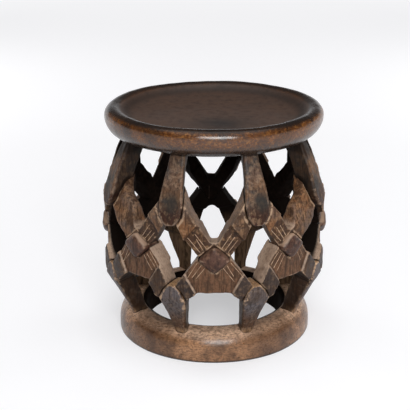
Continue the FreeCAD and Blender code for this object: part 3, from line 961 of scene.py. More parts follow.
@dataclass
class Seat:
    """Round seat with a rolled rim and a shallow dish.

    Sizes are in millimetres, the brow's turn and the sweep's slope in degrees. A fade is
    measured from the rim's crest or its widest line, and a facing is a span of the surface's
    direction, from 0 for upright to 1 for level.
    """

    inner_roll: float = 20.0
    upper_roll: float = 15.0
    brow_turn: float = 36.0
    lower_roll: float = 32.0
    dish_sweep: float = 34.0
    sweep_slope: float = 45.0
    dish_hollow: float = 2.5
    flat_start: float = 4.0
    steps: int = 320
    under_chords: int = 36
    roll_chords: int = 20
    brow_chords: int = 10
    crest_chords: int = 8
    sweep_chords: int = 12
    dish_chords: int = 48
    wave: float = 1.1
    wave_length: float = 90.0
    wave_shift: float = 3.0
    tool: float = 0.3
    tool_length: float = 22.0
    tool_shift: float = 11.0
    patch: Span = (12.0, -62.0)
    patch_size: Span = (42.0, 40.0)
    dish_fade: Span = (16.0, 4.0)
    crown_fade: Span = (16.0, 7.0)
    crown_facing: Span = (0.6, 0.9)
    under_fade: Span = (22.0, 6.0)
    under_facing: Span = (0.9, 0.98)
    slope_width: float = 9.0
    slope_dark: float = 0.75

    def profile(self) -> list[Span]:
        """Draws the seat from the middle of its underside round to the middle of the dish.

        Returns:
            Radius and height pairs in millimetres.
        """
        low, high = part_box("seat")
        radius, bottom, top = high.x / MM, low.z / MM, high.z / MM
        widest = bottom + self.lower_roll
        slope = self.sweep_slope
        roll_radius = radius - self.upper_roll
        sweep_angle = math.radians(slope)
        join = (
            roll_radius - self.inner_roll * math.cos(sweep_angle),
            top - self.inner_roll * (1 - math.sin(sweep_angle)),
        )
        sweep_centre = (
            join[0] - self.dish_sweep * math.cos(sweep_angle),
            join[1] + self.dish_sweep * math.sin(sweep_angle),
        )
        edge = (sweep_centre[0], sweep_centre[1] - self.dish_sweep)
        under = (radius - self.lower_roll, bottom)
        points = [(0.0, bottom), (self.flat_start, bottom)]
        points += run(points[-1], under, self.under_chords)
        lower = self.lower_roll
        points += arc((under[0], widest), lower, lower, -90, 0, self.roll_chords)
        points += self.brow(radius, widest, roll_radius, top)
        inner = self.inner_roll
        crest = (roll_radius, top - inner)
        points += arc(crest, inner, inner, 90, 180 - slope, self.crest_chords)[1:]
        sweep = self.dish_sweep
        points += arc(sweep_centre, sweep, sweep, -slope, -90, self.sweep_chords)[1:]
        for k in range(1, self.dish_chords):
            part = 1 - k / self.dish_chords
            points.append((edge[0] * part, edge[1] - self.dish_hollow * (1 - part ** 2)))
        points.append((0.0, edge[1] - self.dish_hollow))
        return points

    def brow(self, radius: float, widest: float, roll_radius: float, top: float) -> list[Span]:
        """Draws the rim's front above its widest line: a long slow curve, then a tight one.

        Args:
            radius: Radius of the widest line.
            widest: Height of the widest line.
            roll_radius: Radius of the rim's crest.
            top: Height of the crest.

        Returns:
            Radius and height pairs in millimetres, without the widest one.
        """
        turn = math.radians(self.brow_turn)
        across, rise = math.cos(turn), math.sin(turn)
        shares = np.array([[1 - across, across], [rise, 1 - rise]])
        slow, tight = np.linalg.solve(shares, np.array([radius - roll_radius, top - widest]))
        chords = self.brow_chords
        points = arc((radius - slow, widest), slow, slow, 0, self.brow_turn, chords)[1:]
        centre = (roll_radius, top - tight)
        return points + arc(centre, tight, tight, self.brow_turn, 90, chords)[1:]

    def build(self) -> Carving:
        """Turns the seat and takes the adze's slow waves and small cuts out of it.

        Returns:
            The seat's carving.
        """
        low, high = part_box("seat")
        carving = Carving(lathe("carved_seat", self.profile(), self.steps))
        carving.uneven(0.0, self.wave, self.wave_length, self.wave_shift)
        carving.uneven(0.0, self.tool, self.tool_length, self.tool_shift)
        carving.keep_within(low, high)
        return carving

    def dress(self, carving: Carving, soot_and_shade: bpy.types.Material) -> bpy.types.Object:
        """Marks rim, dish and underside, and puts the seat on the stool.

        Args:
            carving: The turned seat.
            soot_and_shade: Finish of the flat underside.

        Returns:
            The piece.
        """
        low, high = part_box("seat")
        normals = carving.normals()
        upward = normals[:, 2]
        radius = radius_of(carving.points) / MM
        crest = high.x / MM - self.upper_roll
        start, end = (crest - fade for fade in self.dish_fade)
        dish = (1.0 - smooth_step(radius, start, end)) * (upward > 0)
        # Painted shade: the rim's underside is darkened, and the flat underside below goes black.
        start, end = (low.z + (self.lower_roll - fade) * MM for fade in self.under_fade)
        under = 1.0 - smooth_step(carving.points[:, 2], start, end)
        bottom = smooth_step(-upward, *self.under_facing) * (radius < crest - self.lower_roll)
        spot = carving.points[:, :2] - np.array(self.patch) * MM
        patch = np.exp(-((spot / (np.array(self.patch_size) * MM)) ** 2).sum(axis=1)) * dish
        # Darker on the dish's inner slope and on the rim's crest.
        slope = np.exp(-((radius - crest + self.inner_roll) / self.slope_width) ** 2) * (upward > 0)
        start, end = (crest - fade for fade in self.crown_fade)
        crown = smooth_step(upward, *self.crown_facing) * smooth_step(radius, start, end)
        darkening = np.maximum(slope * self.slope_dark, crown)
        mark(carving.mesh, np.stack([np.zeros_like(dish), darkening, dish, under, patch], axis=1))
        materials = [SEAT_WOOD.material(), soot_and_shade]
        piece = place_piece("carved_seat", carving.mesh, materials, ["seat"])
        blacken(carving.mesh, bottom, 1)
        return piece


@dataclass
class BaseRing:
    """Heavy ring that stands on the floor, tan where it is rubbed, with dark patches of wax and
    painted shade.

    Sizes are in millimetres, the patches' sway and turn in radians.
    """

    shoulder_height: float = 15.0
    shoulder_width: float = 26.0
    bore_radius: float = 115.0
    bore_round: float = 9.0
    bevel: float = 2.5
    steps: int = 320
    floor_chords: int = 12
    bevel_chords: int = 4
    side_chords: int = 6
    shoulder_chords: int = 22
    crown_chords: int = 8
    bore_chords: int = 12
    wave: float = 1.2
    wave_length: float = 80.0
    wave_shift: float = 7.0
    tool: float = 0.35
    tool_length: float = 24.0
    tool_shift: float = 19.0
    floor_touch: float = 0.2
    top_depth: float = 17.0
    bore_fade: Span = (-8.0, 5.0)
    foot_fade: Span = (1.5, 5.0)
    foot_shadow: float = 0.9
    darkening: float = 4.0
    pod_shadow_share: float = 0.5
    wax_shade_patches: float = 4.0
    wax_shade_sway: float = 0.6
    wax_shade_turn: float = 0.4
    wax_shade_span: Span = (-0.3, 0.8)
    wax_shade_cover: float = 0.5

    def profile(self) -> list[Span]:
        """Draws the ring's section, from the floor outwards and over the top to the bore.

        Returns:
            Radius and height pairs in millimetres.
        """
        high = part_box("base_ring")[1]
        radius, top = high.x / MM, high.z / MM
        bevel = self.bevel
        shoulder = (radius - self.shoulder_width, self.shoulder_height)
        crown = (shoulder[0], top)
        lip = (self.bore_radius + self.bore_round, top)
        heel = (radius - bevel, 0.0)
        bore_foot = (self.bore_radius, bevel)
        points = [(self.bore_radius + bevel, 0.0)]
        points += run(points[0], heel, self.floor_chords) + [heel]
        points += arc((heel[0], bevel), bevel, bevel, -90, 0, self.bevel_chords)[1:]
        points += run((radius, bevel), (radius, shoulder[1]), self.side_chords)
        rise = top - self.shoulder_height
        points += arc(shoulder, self.shoulder_width, rise, 0, 90, self.shoulder_chords)
        points += run(crown, lip, self.crown_chords)
        curve = self.bore_round
        points += arc((lip[0], top - curve), curve, curve, 90, 180, self.crown_chords)
        points += run((self.bore_radius, top - curve), bore_foot, self.bore_chords) + [bore_foot]
        return points

    def build(self) -> Carving:
        """Turns the ring and takes the adze's slow waves and small cuts out of it.

        Returns:
            The ring's carving.
        """
        low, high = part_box("base_ring")
        carving = Carving(lathe("carved_base_ring", self.profile(), self.steps))
        foot = carving.points[:, 2] < self.floor_touch * MM
        carving.uneven(0.0, self.wave, self.wave_length, self.wave_shift)
        carving.uneven(0.0, self.tool, self.tool_length, self.tool_shift)
        carving.points[foot, 2] = 0.0
        carving.keep_within(low, high)
        return carving

    def dress(self, carving: Carving, soot_and_shade: bpy.types.Material) -> bpy.types.Object:
        """Marks the worn top, the dark patches of wax and painted shade, the painted shadow at the
        floor and round the foot pods, and the dark bore, and puts the ring on the stool.

        Args:
            carving: The turned ring.
            soot_and_shade: Finish of the bore.

        Returns:
            The piece.
        """
        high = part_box("base_ring")[1]
        height = carving.points[:, 2]
        radius = radius_of(carving.points) / MM
        crown = self.bore_radius + self.bore_round
        top = smooth_step(height, high.z - self.top_depth * MM, high.z)
        # Painted shade on the bore and the inner lip of the top.
        start, end = (crown + fade for fade in self.bore_fade)
        bore = 1.0 - smooth_step(radius, start, end)
        # Painted shadow along the floor and round the foot pods.
        start, end = (fade * MM for fade in self.foot_fade)
        foot = 1.0 - smooth_step(height, start, end)
        pods = [f"{PodKind.FOOT.value}_pod_{number}" for number in range(1, CROSSINGS + 1)]
        gap = joint_gap(carving.points, pods, self.darkening)
        joint = joint_dirt_and_shade(carving.points, gap, self.darkening)
        darkening = np.maximum(foot * self.foot_shadow, joint * self.pod_shadow_share)
        # Dark patches of wax and painted shade, four round the ring and darkest at the diagonals, so
        # the sides fall darker than the front.
        turn = turn_of(carving.points, 0.0)
        sway = self.wax_shade_sway * np.sin(turn + self.wax_shade_turn)
        waxed = smooth_step(-np.cos(self.wax_shade_patches * turn + sway), *self.wax_shade_span)
        top *= 1.0 - self.wax_shade_cover * waxed
        none = np.zeros_like(top)
        mark(carving.mesh, np.stack([none, darkening, top, bore, waxed], axis=1))
        materials = [BASE_WOOD.material(), soot_and_shade]
        piece = place_piece("carved_base_ring", carving.mesh, materials, ["base_ring"])
        blacken(carving.mesh, bore, 1)
        return piece


@dataclass
class KnifeLines:
    """Short pale lines cut along an arm, made by Geometry Nodes and taken out of the wood.

    Sizes are in millimetres, places are across and up from the middle of the boss.
    """

    start: dict[Rank, Span] = field(
        default_factory=lambda: {Rank.UPPER: (16.4, 15.0), Rank.LOWER: (19.5, -9.5)}
    )
    heading: dict[Rank, Span] = field(
        default_factory=lambda: {Rank.UPPER: (0.57, 0.82), Rank.LOWER: (0.56, -0.83)}
    )
    spacing: dict[Rank, float] = field(
        default_factory=lambda: {Rank.UPPER: 6.0, Rank.LOWER: 7.2}
    )
    length: float = 33.0
    width: float = 1.2
    wander: float = 0.11
    shortest: float = 0.6
    count: int = 3
    seeds_each: int = 4
    stroke_points: int = 16
    blade_sides: int = 6
    lift: float = 30.0
    ray: float = 60.0
    tree: bpy.types.NodeTree | None = None

    def plan(self) -> bpy.types.NodeTree:
        """Builds the tree that lays a few lines side by side on a carved face.

        Returns:
            The tree, with a named input for each size.
        """
        tree = bpy.data.node_groups.new("knife_lines", "GeometryNodeTree")
        sockets = (
            ("Start", "NodeSocketVector"), ("Run", "NodeSocketVector"),
            ("Across", "NodeSocketVector"), ("Outward", "NodeSocketVector"),
            ("Count", "NodeSocketInt"), ("Width", "NodeSocketFloat"),
            ("Wander", "NodeSocketFloat"), ("Shortest", "NodeSocketFloat"),
            ("Seed", "NodeSocketInt"), ("Lift", "NodeSocketFloat"),
            ("Wood", "NodeSocketObject"), ("Finish", "NodeSocketMaterial"),
        )
        tree.interface.new_socket("Geometry", in_out="INPUT", socket_type="NodeSocketGeometry")
        for name, kind in sockets:
            tree.interface.new_socket(name, in_out="INPUT", socket_type=kind)
        tree.interface.new_socket("Geometry", in_out="OUTPUT", socket_type="NodeSocketGeometry")
        given = add_node(tree, "NodeGroupInput").outputs
        stroke = add_node(
            tree, "GeometryNodeCurvePrimitiveLine", {"Start": (0.0, 0.0, 0.0), "End": given["Run"]}
        )
        stroke = add_node(
            tree, "GeometryNodeResampleCurve",
            {"Curve": stroke.outputs["Curve"], "Count": self.stroke_points},
        )
        spots = add_node(
            tree, "GeometryNodeMeshLine",
            {"Count": given["Count"], "Start Location": given["Start"], "Offset": given["Across"]},
        )
        less = add_node(
            tree, "ShaderNodeMath", {0: given["Wander"], 1: -1.0}, operation="MULTIPLY"
        )
        angle = add_node(
            tree, "FunctionNodeRandomValue",
            {"Min": less.outputs["Value"], "Max": given["Wander"], "Seed": given["Seed"]},
        )
        turn = add_node(
            tree, "FunctionNodeAxisAngleToRotation",
            {"Axis": given["Outward"], "Angle": angle.outputs["Value"]},
        )
        reach = add_node(
            tree, "FunctionNodeRandomValue",
            {"Min": given["Shortest"], "Max": 1.0, "Seed": given["Seed"]},
        )
        strokes = add_node(
            tree, "GeometryNodeInstanceOnPoints",
            {"Points": spots.outputs["Mesh"], "Instance": stroke.outputs["Curve"],
             "Rotation": turn.outputs["Rotation"], "Scale": reach.outputs["Value"]},
        )
        strokes = add_node(
            tree, "GeometryNodeRealizeInstances", {"Geometry": strokes.outputs["Instances"]}
        )
        lift = add_node(
            tree, "ShaderNodeVectorMath", {0: given["Outward"], "Scale": given["Lift"]},
            operation="SCALE",
        )
        spot = add_node(tree, "GeometryNodeInputPosition")
        above = add_node(
            tree, "ShaderNodeVectorMath", {0: spot.outputs["Position"], 1: lift.outputs["Vector"]},
            operation="ADD",
        )
        inward = add_node(
            tree, "ShaderNodeVectorMath", {0: given["Outward"], "Scale": -1.0}, operation="SCALE"
        )
        wood = add_node(tree, "GeometryNodeObjectInfo", {"Object": given["Wood"]})
        hit = add_node(
            tree, "GeometryNodeRaycast",
            {"Target Geometry": wood.outputs["Geometry"], "Source Position": above.outputs["Vector"],
             "Ray Direction": inward.outputs["Vector"], "Ray Length": self.ray * MM},
        )
        laid = add_node(
            tree, "GeometryNodeSetPosition",
            {"Geometry": strokes.outputs["Geometry"], "Selection": hit.outputs["Is Hit"],
             "Position": hit.outputs["Hit Position"]},
        )
        half = add_node(tree, "ShaderNodeMath", {0: given["Width"], 1: 0.5}, operation="MULTIPLY")
        blade = add_node(
            tree, "GeometryNodeCurvePrimitiveCircle",
            {"Resolution": self.blade_sides, "Radius": half.outputs["Value"]},
        )
        cut = add_node(
            tree, "GeometryNodeCurveToMesh",
            {"Curve": laid.outputs["Geometry"], "Profile Curve": blade.outputs["Curve"],
             "Fill Caps": True},
        )
        cut = add_node(tree, "GeometryNodeRealizeInstances", {"Geometry": cut.outputs["Mesh"]})
        cut = add_node(
            tree, "GeometryNodeSetMaterial",
            {"Geometry": cut.outputs["Geometry"], "Material": given["Finish"]},
        )
        add_node(tree, "NodeGroupOutput", {"Geometry": cut.outputs["Geometry"]})
        return tree

    def cutter(self, name: str, values: dict[str, Any]) -> bpy.types.Mesh:
        """Makes the lines of one arm as solid strokes.

        Args:
            name: Name of the mesh.
            values: Values of the tree's inputs, by their names.

        Returns:
            The strokes, as one plain mesh.
        """
        if self.tree is None:
            self.tree = self.plan()
        holder = in_scene(name, bpy.data.meshes.new(name))
        modifier = holder.modifiers.new("lines", "NODES")
        modifier.node_group = self.tree
        pins = {item.name: item.identifier for item in self.tree.interface.items_tree
                if item.in_out == "INPUT"}
        for pin, value in values.items():
            modifier[pins[pin]] = value
        mesh = settled(holder, name)
        bpy.data.objects.remove(holder)
        return mesh


@dataclass(frozen=True)
class LatticeFinishes:
    """The finishes that all crossings share, those of the arms by their storey."""

    arms: dict[Rank, bpy.types.Material]
    boss: bpy.types.Material
    incised: bpy.types.Material
    inside: dict[Rank, bpy.types.Material]


@dataclass
class Crossing:
    """One crossing of the lattice: a boss, two arms up and two arms down.

    A crossing may have one upper arm that is a plain leaf: leaf is 1 for the right arm, -1
    for the left one and 0 for none. Sizes are in millimetres. A facing is a span of the
    surface's direction, a bend one of its curvature in 1/mm, and a rise one of the height
    above the boss's middle.
    """

    number: int
    lines: KnifeLines
    finishes: LatticeFinishes
    leaf: int = 0
    voxel: float = 1.4
    boss_passes: int = 44
    boss_dome: float = 2.2
    boss_half_width: float = 27.0
    boss_half_height: float = 24.0
    boss_cut: float = 0.54
    boss_worn_bend: Span = (0.1, 0.35)
    boss_lit_rub_facing: Span = (0.34, 0.7)
    boss_shadow_facing: Span = (-0.2, 0.3)
    dark_boss_lit_rub: float = 0.2
    lip: float = 0.9
    lip_reach: float = 1.13
    lip_width: float = 0.05
    arm_passes: int = 4
    leaf_passes: int = 36
    leaf_side: Span = (6.0, 16.0)
    leaf_foot: Span = (8.0, 18.0)
    leaf_fill: float = 12.0
    leaf_reach: float = 16.0
    leaf_belly: float = 66.0
    belly_size: float = 19.0
    leaf_hip: float = 26.0
    hip_size: float = 15.0
    hip_share: float = 0.8
    band: float = 4.0
    bands: int = 64
    grow: float = 0.6
    cut: float = 0.9
    cut_length: float = 26.0
    tool: float = 0.55
    tool_length: float = 9.0
    boss_shift: float = 3.0
    boss_tool_shift: float = 1.0
    arm_shift: float = 5.0
    arm_tool_shift: float = 2.0
    neck_radius: float = 183.6
    neck_step: float = 0.6
    neck_reach: float = 74.0
    neck_fade: float = 2.0
    flank_facing: Span = (0.55, 0.8)
    ledge_facing: Span = (0.1, 0.5)
    under_facing: Span = (0.2, 0.6)
    under_shade: float = 0.6
    worn_bend: Span = (0.14, 0.55)
    hollow_bend: Span = (0.08, 0.34)
    crevice_dirt_and_shade: float = 0.8
    darkening: float = 2.0
    strip: float = 6.5
    strip_fade: float = 4.0
    strip_step: float = 1.0
    strip_rise: Span = (30.0, 44.0)
    lit_rub_rise: Span = (26.0, 44.0)
    lit_rub_loss: float = 0.6
    sharp: float = 42.0
    outer: float = 186.0
    centre: Vector = field(init=False)
    azimuth: float = field(init=False)

    def __post_init__(self) -> None:
        """Finds the crossing's middle and the way it faces from its boss."""
        low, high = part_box(self.boss)
        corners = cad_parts[self.boss].data.vertices
        points = {tuple(round(c, WELD_DIGITS) for c in corner.co) for corner in corners}
        mean = np.array(sorted(points)).mean(axis=0)
        self.azimuth = math.atan2(mean[0], -mean[1])
        radius = math.hypot(mean[0], mean[1])
        self.centre = self.at(0.0, 0.0, radius) + Vector((0.0, 0.0, (low.z + high.z) / 2))

    @property
    def boss(self) -> str:
        """Names the boss."""
        return f"boss_{self.number}"

    def at(self, across: float, up: float, radius: float) -> Vector:
        """Gives a place on the lattice's round.

        Args:
            across: Way round from the middle of the crossing, in millimetres.
            up: Height above the middle, in millimetres.
            radius: Distance from the stool's axis, in metres.

        Returns:
            The place in metres, at height up.
        """
        turn = self.azimuth + across * MM / radius
        return Vector((radius * math.sin(turn), -radius * math.cos(turn), up * MM))

    def arms(self, rank: Rank) -> list[str]:
        """Names the two arms of a storey."""
        return [f"{rank.name.lower()}_arm_{self.number}_{side}" for side in ("left", "right")]

    def across_and_up(self, points: np.ndarray) -> tuple[np.ndarray, np.ndarray]:
        """Gives each point's way round and height from the middle of the boss, in millimetres."""
        way_round = turn_of(points, self.azimuth) * radius_of(points)
        return way_round / MM, (points[:, 2] - self.centre.z) / MM

    def neighbours(self, rank: Rank) -> list[str]:
        """Names the pods that a storey's arms join, and the boss above the lower arms.

        Args:
            rank: Storey of the arms.

        Returns:
            Their CAD nodes.
        """
        kind = PodKind.HANGING if rank is Rank.UPPER else PodKind.FOOT
        before = (self.number - 2) % CROSSINGS + 1
        pods = [f"{kind.value}_pod_{number}" for number in (self.number, before)]
        return pods if rank is Rank.UPPER else pods + [self.boss]

    def lozenge(self, points: np.ndarray) -> np.ndarray:
        """Gives each point's distance from the middle of the boss, 1 along the boss's edge."""
        across, up = self.across_and_up(points)
        return np.abs(across) / self.boss_half_width + np.abs(up) / self.boss_half_height

    def lip_ring(self, points: np.ndarray) -> np.ndarray:
        """Finds the raised lip above the boss, from 0 to 1."""
        ring = np.exp(-((self.lozenge(points) - self.lip_reach) / self.lip_width) ** 2)
        return ring * (self.across_and_up(points)[1] > 0)

    def on_leaf(self, points: np.ndarray) -> np.ndarray:
        """Tells how far each point belongs to the plain leaf.

        Args:
            points: Places in metres.

        Returns:
            1 on the leaf, 0 away from it.
        """
        across, up = self.across_and_up(points)
        beside = smooth_step(across * self.leaf, *self.leaf_side)
        return beside * smooth_step(up, *self.leaf_foot)

    def fill_leaf(self, carving: Carving) -> None:
        """Swells the plain leaf: high up towards the valley of the arms, low down away from it.

        Args:
            carving: The pair of arms with the leaf.
        """
        across, up = self.across_and_up(carving.points)
        side = across * self.leaf
        inside = self.on_leaf(carving.points) > 0.5
        steps = np.clip(up / self.band, 0, self.bands - 1).astype(int)
        near = np.full(self.bands, np.inf)
        far = np.full(self.bands, -np.inf)
        np.minimum.at(near, steps[inside], side[inside])
        np.maximum.at(far, steps[inside], side[inside])
        belly = np.exp(-((up - self.leaf_belly) / self.belly_size) ** 2)
        hip = np.exp(-((up - self.leaf_hip) / self.hip_size) ** 2)
        shift = hip * (1.0 - smooth_step(far[steps] - side, 0.0, self.leaf_reach)) * self.hip_share
        shift -= belly * (1.0 - smooth_step(side - near[steps], 0.0, self.leaf_reach))
        outward = outward_at(carving.points)
        sideways = np.stack([-outward[:, 1], outward[:, 0], np.zeros_like(up)], axis=1)
        carving.points += sideways * (inside * self.leaf * self.leaf_fill * shift * MM)[:, None]

    def carve_lines(self, carving: Carving, rank: Rank, name: str) -> bpy.types.Mesh:
        """Cuts the knife lines out of a pair of arms.

        Args:
            carving: The pair of arms.
            rank: Their storey.
            name: Name of the piece.

        Returns:
            The cut mesh.
        """
        radius = self.centre.to_2d().length
        wood = in_scene(name + "_wood", carving.mesh)
        joined = bmesh.new()
        across, up = self.lines.start[rank]
        way, rise = self.lines.heading[rank]
        gap = self.lines.spacing[rank] * (self.lines.count - 1) / 2
        lifted = Vector((0.0, 0.0, self.centre.z))
        sides = [side for side in (-1, 1) if rank is Rank.LOWER or side != self.leaf]
        for side in sides:
            first = (across - gap * abs(rise), up + gap * way * rank.value)
            last = (first[0] + way * self.lines.length, first[1] + rise * self.lines.length)
            second = (across + gap * abs(rise), up - gap * way * rank.value)
            start = self.at(side * first[0], first[1], radius)
            end = self.at(side * last[0], last[1], radius)
            beside = self.at(side * second[0], second[1], radius)
            mesh = self.lines.cutter(name + "_lines", {
                "Start": start + lifted, "Run": end - start,
                "Across": (beside - start) / max(self.lines.count - 1, 1),
                "Outward": self.at(side * (first[0] + second[0]) / 2, 0.0, radius).normalized(),
                "Count": self.lines.count, "Width": self.lines.width * MM,
                "Wander": self.lines.wander, "Shortest": self.lines.shortest,
                "Seed": self.number * self.lines.seeds_each + side + rank.value,
                "Lift": self.lines.lift * MM, "Wood": wood, "Finish": self.finishes.incised,
            })
            joined.from_mesh(mesh)
        cutter_mesh = bpy.data.meshes.new(name + "_cutter")
        joined.to_mesh(cutter_mesh)
        joined.free()
        cutter_mesh.materials.append(self.finishes.incised)
        cutter = in_scene(name + "_cutter", cutter_mesh)
        wood.data.materials.append(self.finishes.arms[rank])
        knife = wood.modifiers.new("knife", "BOOLEAN")
        knife.operation = "DIFFERENCE"
        knife.object = cutter
        knife.solver = "EXACT"
        knife.material_mode = "TRANSFER"
        mesh = settled(wood, name)
        bpy.data.objects.remove(wood)
        bpy.data.objects.remove(cutter)
        return mesh

    def arm_marks(self, carving: Carving, rank: Rank) -> np.ndarray:
        """Finds worn edges, hollows, the neck and the inner faces of a pair of arms.

        Args:
            carving: The pair of arms.
            rank: Their storey.

        Returns:
            The five marks of each point.
        """
        points = carving.points
        normals = carving.normals()
        bend = carving.bend()
        across, up = self.across_and_up(points)
        sink = self.neck_radius - radius_of(points) / MM
        facing = facing_out(points, normals)
        face = smooth_step(facing, *FACE_OUT)
        leaf = self.on_leaf(points) if rank is Rank.UPPER else np.zeros_like(up)
        neck = smooth_step(sink, -self.neck_step, self.neck_step) * face
        reach = self.neck_reach
        neck *= 1.0 - smooth_step(np.hypot(across, up), reach - self.neck_fade, reach)
        flank = 1.0 - smooth_step(np.abs(facing), *self.flank_facing)
        ledge = flank * smooth_step(normals[:, 2], *self.ledge_facing)
        under = flank * smooth_step(-normals[:, 2], *self.under_facing)
        ring = self.lip_ring(points)
        gap = joint_gap(points, self.neighbours(rank), self.strip)
        strip = smooth_step(gap, self.darkening, self.darkening + self.strip_step)
        strip *= 1.0 - smooth_step(gap, self.strip_fade, self.strip)
        strip *= face * smooth_step(up, *self.strip_rise)
        worn = np.maximum(smooth_step(bend, *self.worn_bend) * (1.0 - leaf), strip)
        # The pale lip above the boss is worn, and a painted highlight where it catches the light
        # from above.
        worn = np.maximum(worn, ring * face)
        # Grime and painted shade in hollows and joints, and painted shade on faces that look down.
        hollow = smooth_step(-bend, *self.hollow_bend) * self.crevice_dirt_and_shade
        hollow = np.maximum(hollow, under * self.under_shade)
        hollow = np.maximum(hollow, joint_dirt_and_shade(points, gap, self.darkening)) * (1.0 - ring)
        shade = deep_shade(points, normals, self.outer * MM)
        # Painted light: faces that look up are paler, as lit from above, as well as rubbed; less so
        # high on the upper arms.
        rub = ledge * (1.0 - leaf)
        if rank is Rank.UPPER:
            rub *= 1.0 - self.lit_rub_loss * smooth_step(up, *self.lit_rub_rise)
        return np.stack([worn, hollow, neck * (1.0 - leaf), shade, rub], axis=1)

    def build_arms(self, rank: Rank, low: Vector, high: Vector) -> bpy.types.Object:
        """Carves and dresses a pair of arms.

        Args:
            rank: Storey of the arms.
            low: Lowest corner of the whole stool.
            high: Highest corner of the whole stool.

        Returns:
            The piece.
        """
        name = f"{rank.name.lower()}_arms_{self.number}"
        carving = Carving.from_nodes(name, self.arms(rank), self.voxel)
        carving.soften(self.arm_passes)
        offset = self.number * self.arm_shift + rank.value
        if rank is Rank.UPPER:
            if self.leaf:
                self.fill_leaf(carving)
                carving.soften(self.leaf_passes, self.on_leaf(carving.points))
            face = smooth_step(facing_out(carving.points, carving.normals()), *FACE_OUT)
            rise = self.lip_ring(carving.points) * face * self.lip * MM
            carving.points += outward_at(carving.points) * rise[:, None]
        carving.uneven(self.grow, self.cut, self.cut_length, offset)
        carving.uneven(0.0, self.tool, self.tool_length, offset + self.arm_tool_shift)
        carving.warp(WARP_MM, WARP_LENGTH_MM)
        carving.keep_within(low, high)
        marks = self.arm_marks(carving, rank)
        mesh = self.carve_lines(carving, rank, name)
        found = kdtree.KDTree(len(carving.points))
        for index, point in enumerate(carving.points):
            found.insert(point, index)
        found.balance()
        nearest = [found.find(v.co)[1] for v in mesh.vertices]
        mark(mesh, marks[nearest])
        finishes = self.finishes
        materials = [finishes.arms[rank], finishes.incised, finishes.inside[rank]]
        piece = place_piece(name, mesh, materials, self.arms(rank))
        blacken(mesh, marks[nearest, 3], 2)
        mesh.set_sharp_from_angle(angle=math.radians(self.sharp))
        return piece

    def build_boss(self, low: Vector, high: Vector) -> bpy.types.Object:
        """Carves and dresses the boss.

        Args:
            low: Lowest corner of the whole stool.
            high: Highest corner of the whole stool.

        Returns:
            The piece.
        """
        name = f"carved_{self.boss}"
        carving = Carving.from_nodes(name, [self.boss], self.voxel)
        carving.soften(self.boss_passes)
        offset = self.number * self.boss_shift
        carving.uneven(self.grow, self.boss_cut, self.cut_length, offset)
        outer = radius_of(carving.points) > self.centre.to_2d().length
        fall = self.boss_dome * MM * np.minimum(self.lozenge(carving.points), 1.0) ** 2 * outer
        carving.points -= outward_at(carving.points) * fall[:, None]
        carving.uneven(0.0, self.tool, self.tool_length, offset + self.boss_tool_shift)
        carving.warp(WARP_MM, WARP_LENGTH_MM)
        carving.keep_within(low, high)
        normals = carving.normals()
        bend = carving.bend()
        shade = deep_shade(carving.points, normals, self.outer * MM)
        worn = smooth_step(bend, *self.boss_worn_bend)
        # Painted light: faces of the boss that look up are paler, as lit from above, as well as
        # rubbed.
        rub = smooth_step(normals[:, 2], *self.boss_lit_rub_facing)
        if self.number in DARK_BOSSES:
            rub *= self.dark_boss_lit_rub
        arms = self.arms(Rank.UPPER) + self.arms(Rank.LOWER)
        # Painted shadow: the darkening along the boss's joints is kept to its underside.
        gap = joint_gap(carving.points, arms, self.darkening)
        hollow = joint_dirt_and_shade(carving.points, gap, self.darkening)
        hollow *= smooth_step(-normals[:, 2], *self.boss_shadow_facing)
        mark(carving.mesh, np.stack([worn, hollow, np.zeros_like(bend), shade, rub], axis=1))
        materials = [self.finishes.boss, self.finishes.inside[Rank.UPPER]]
        piece = place_piece(name, carving.mesh, materials, [self.boss])
        blacken(carving.mesh, shade, 1)
        return piece


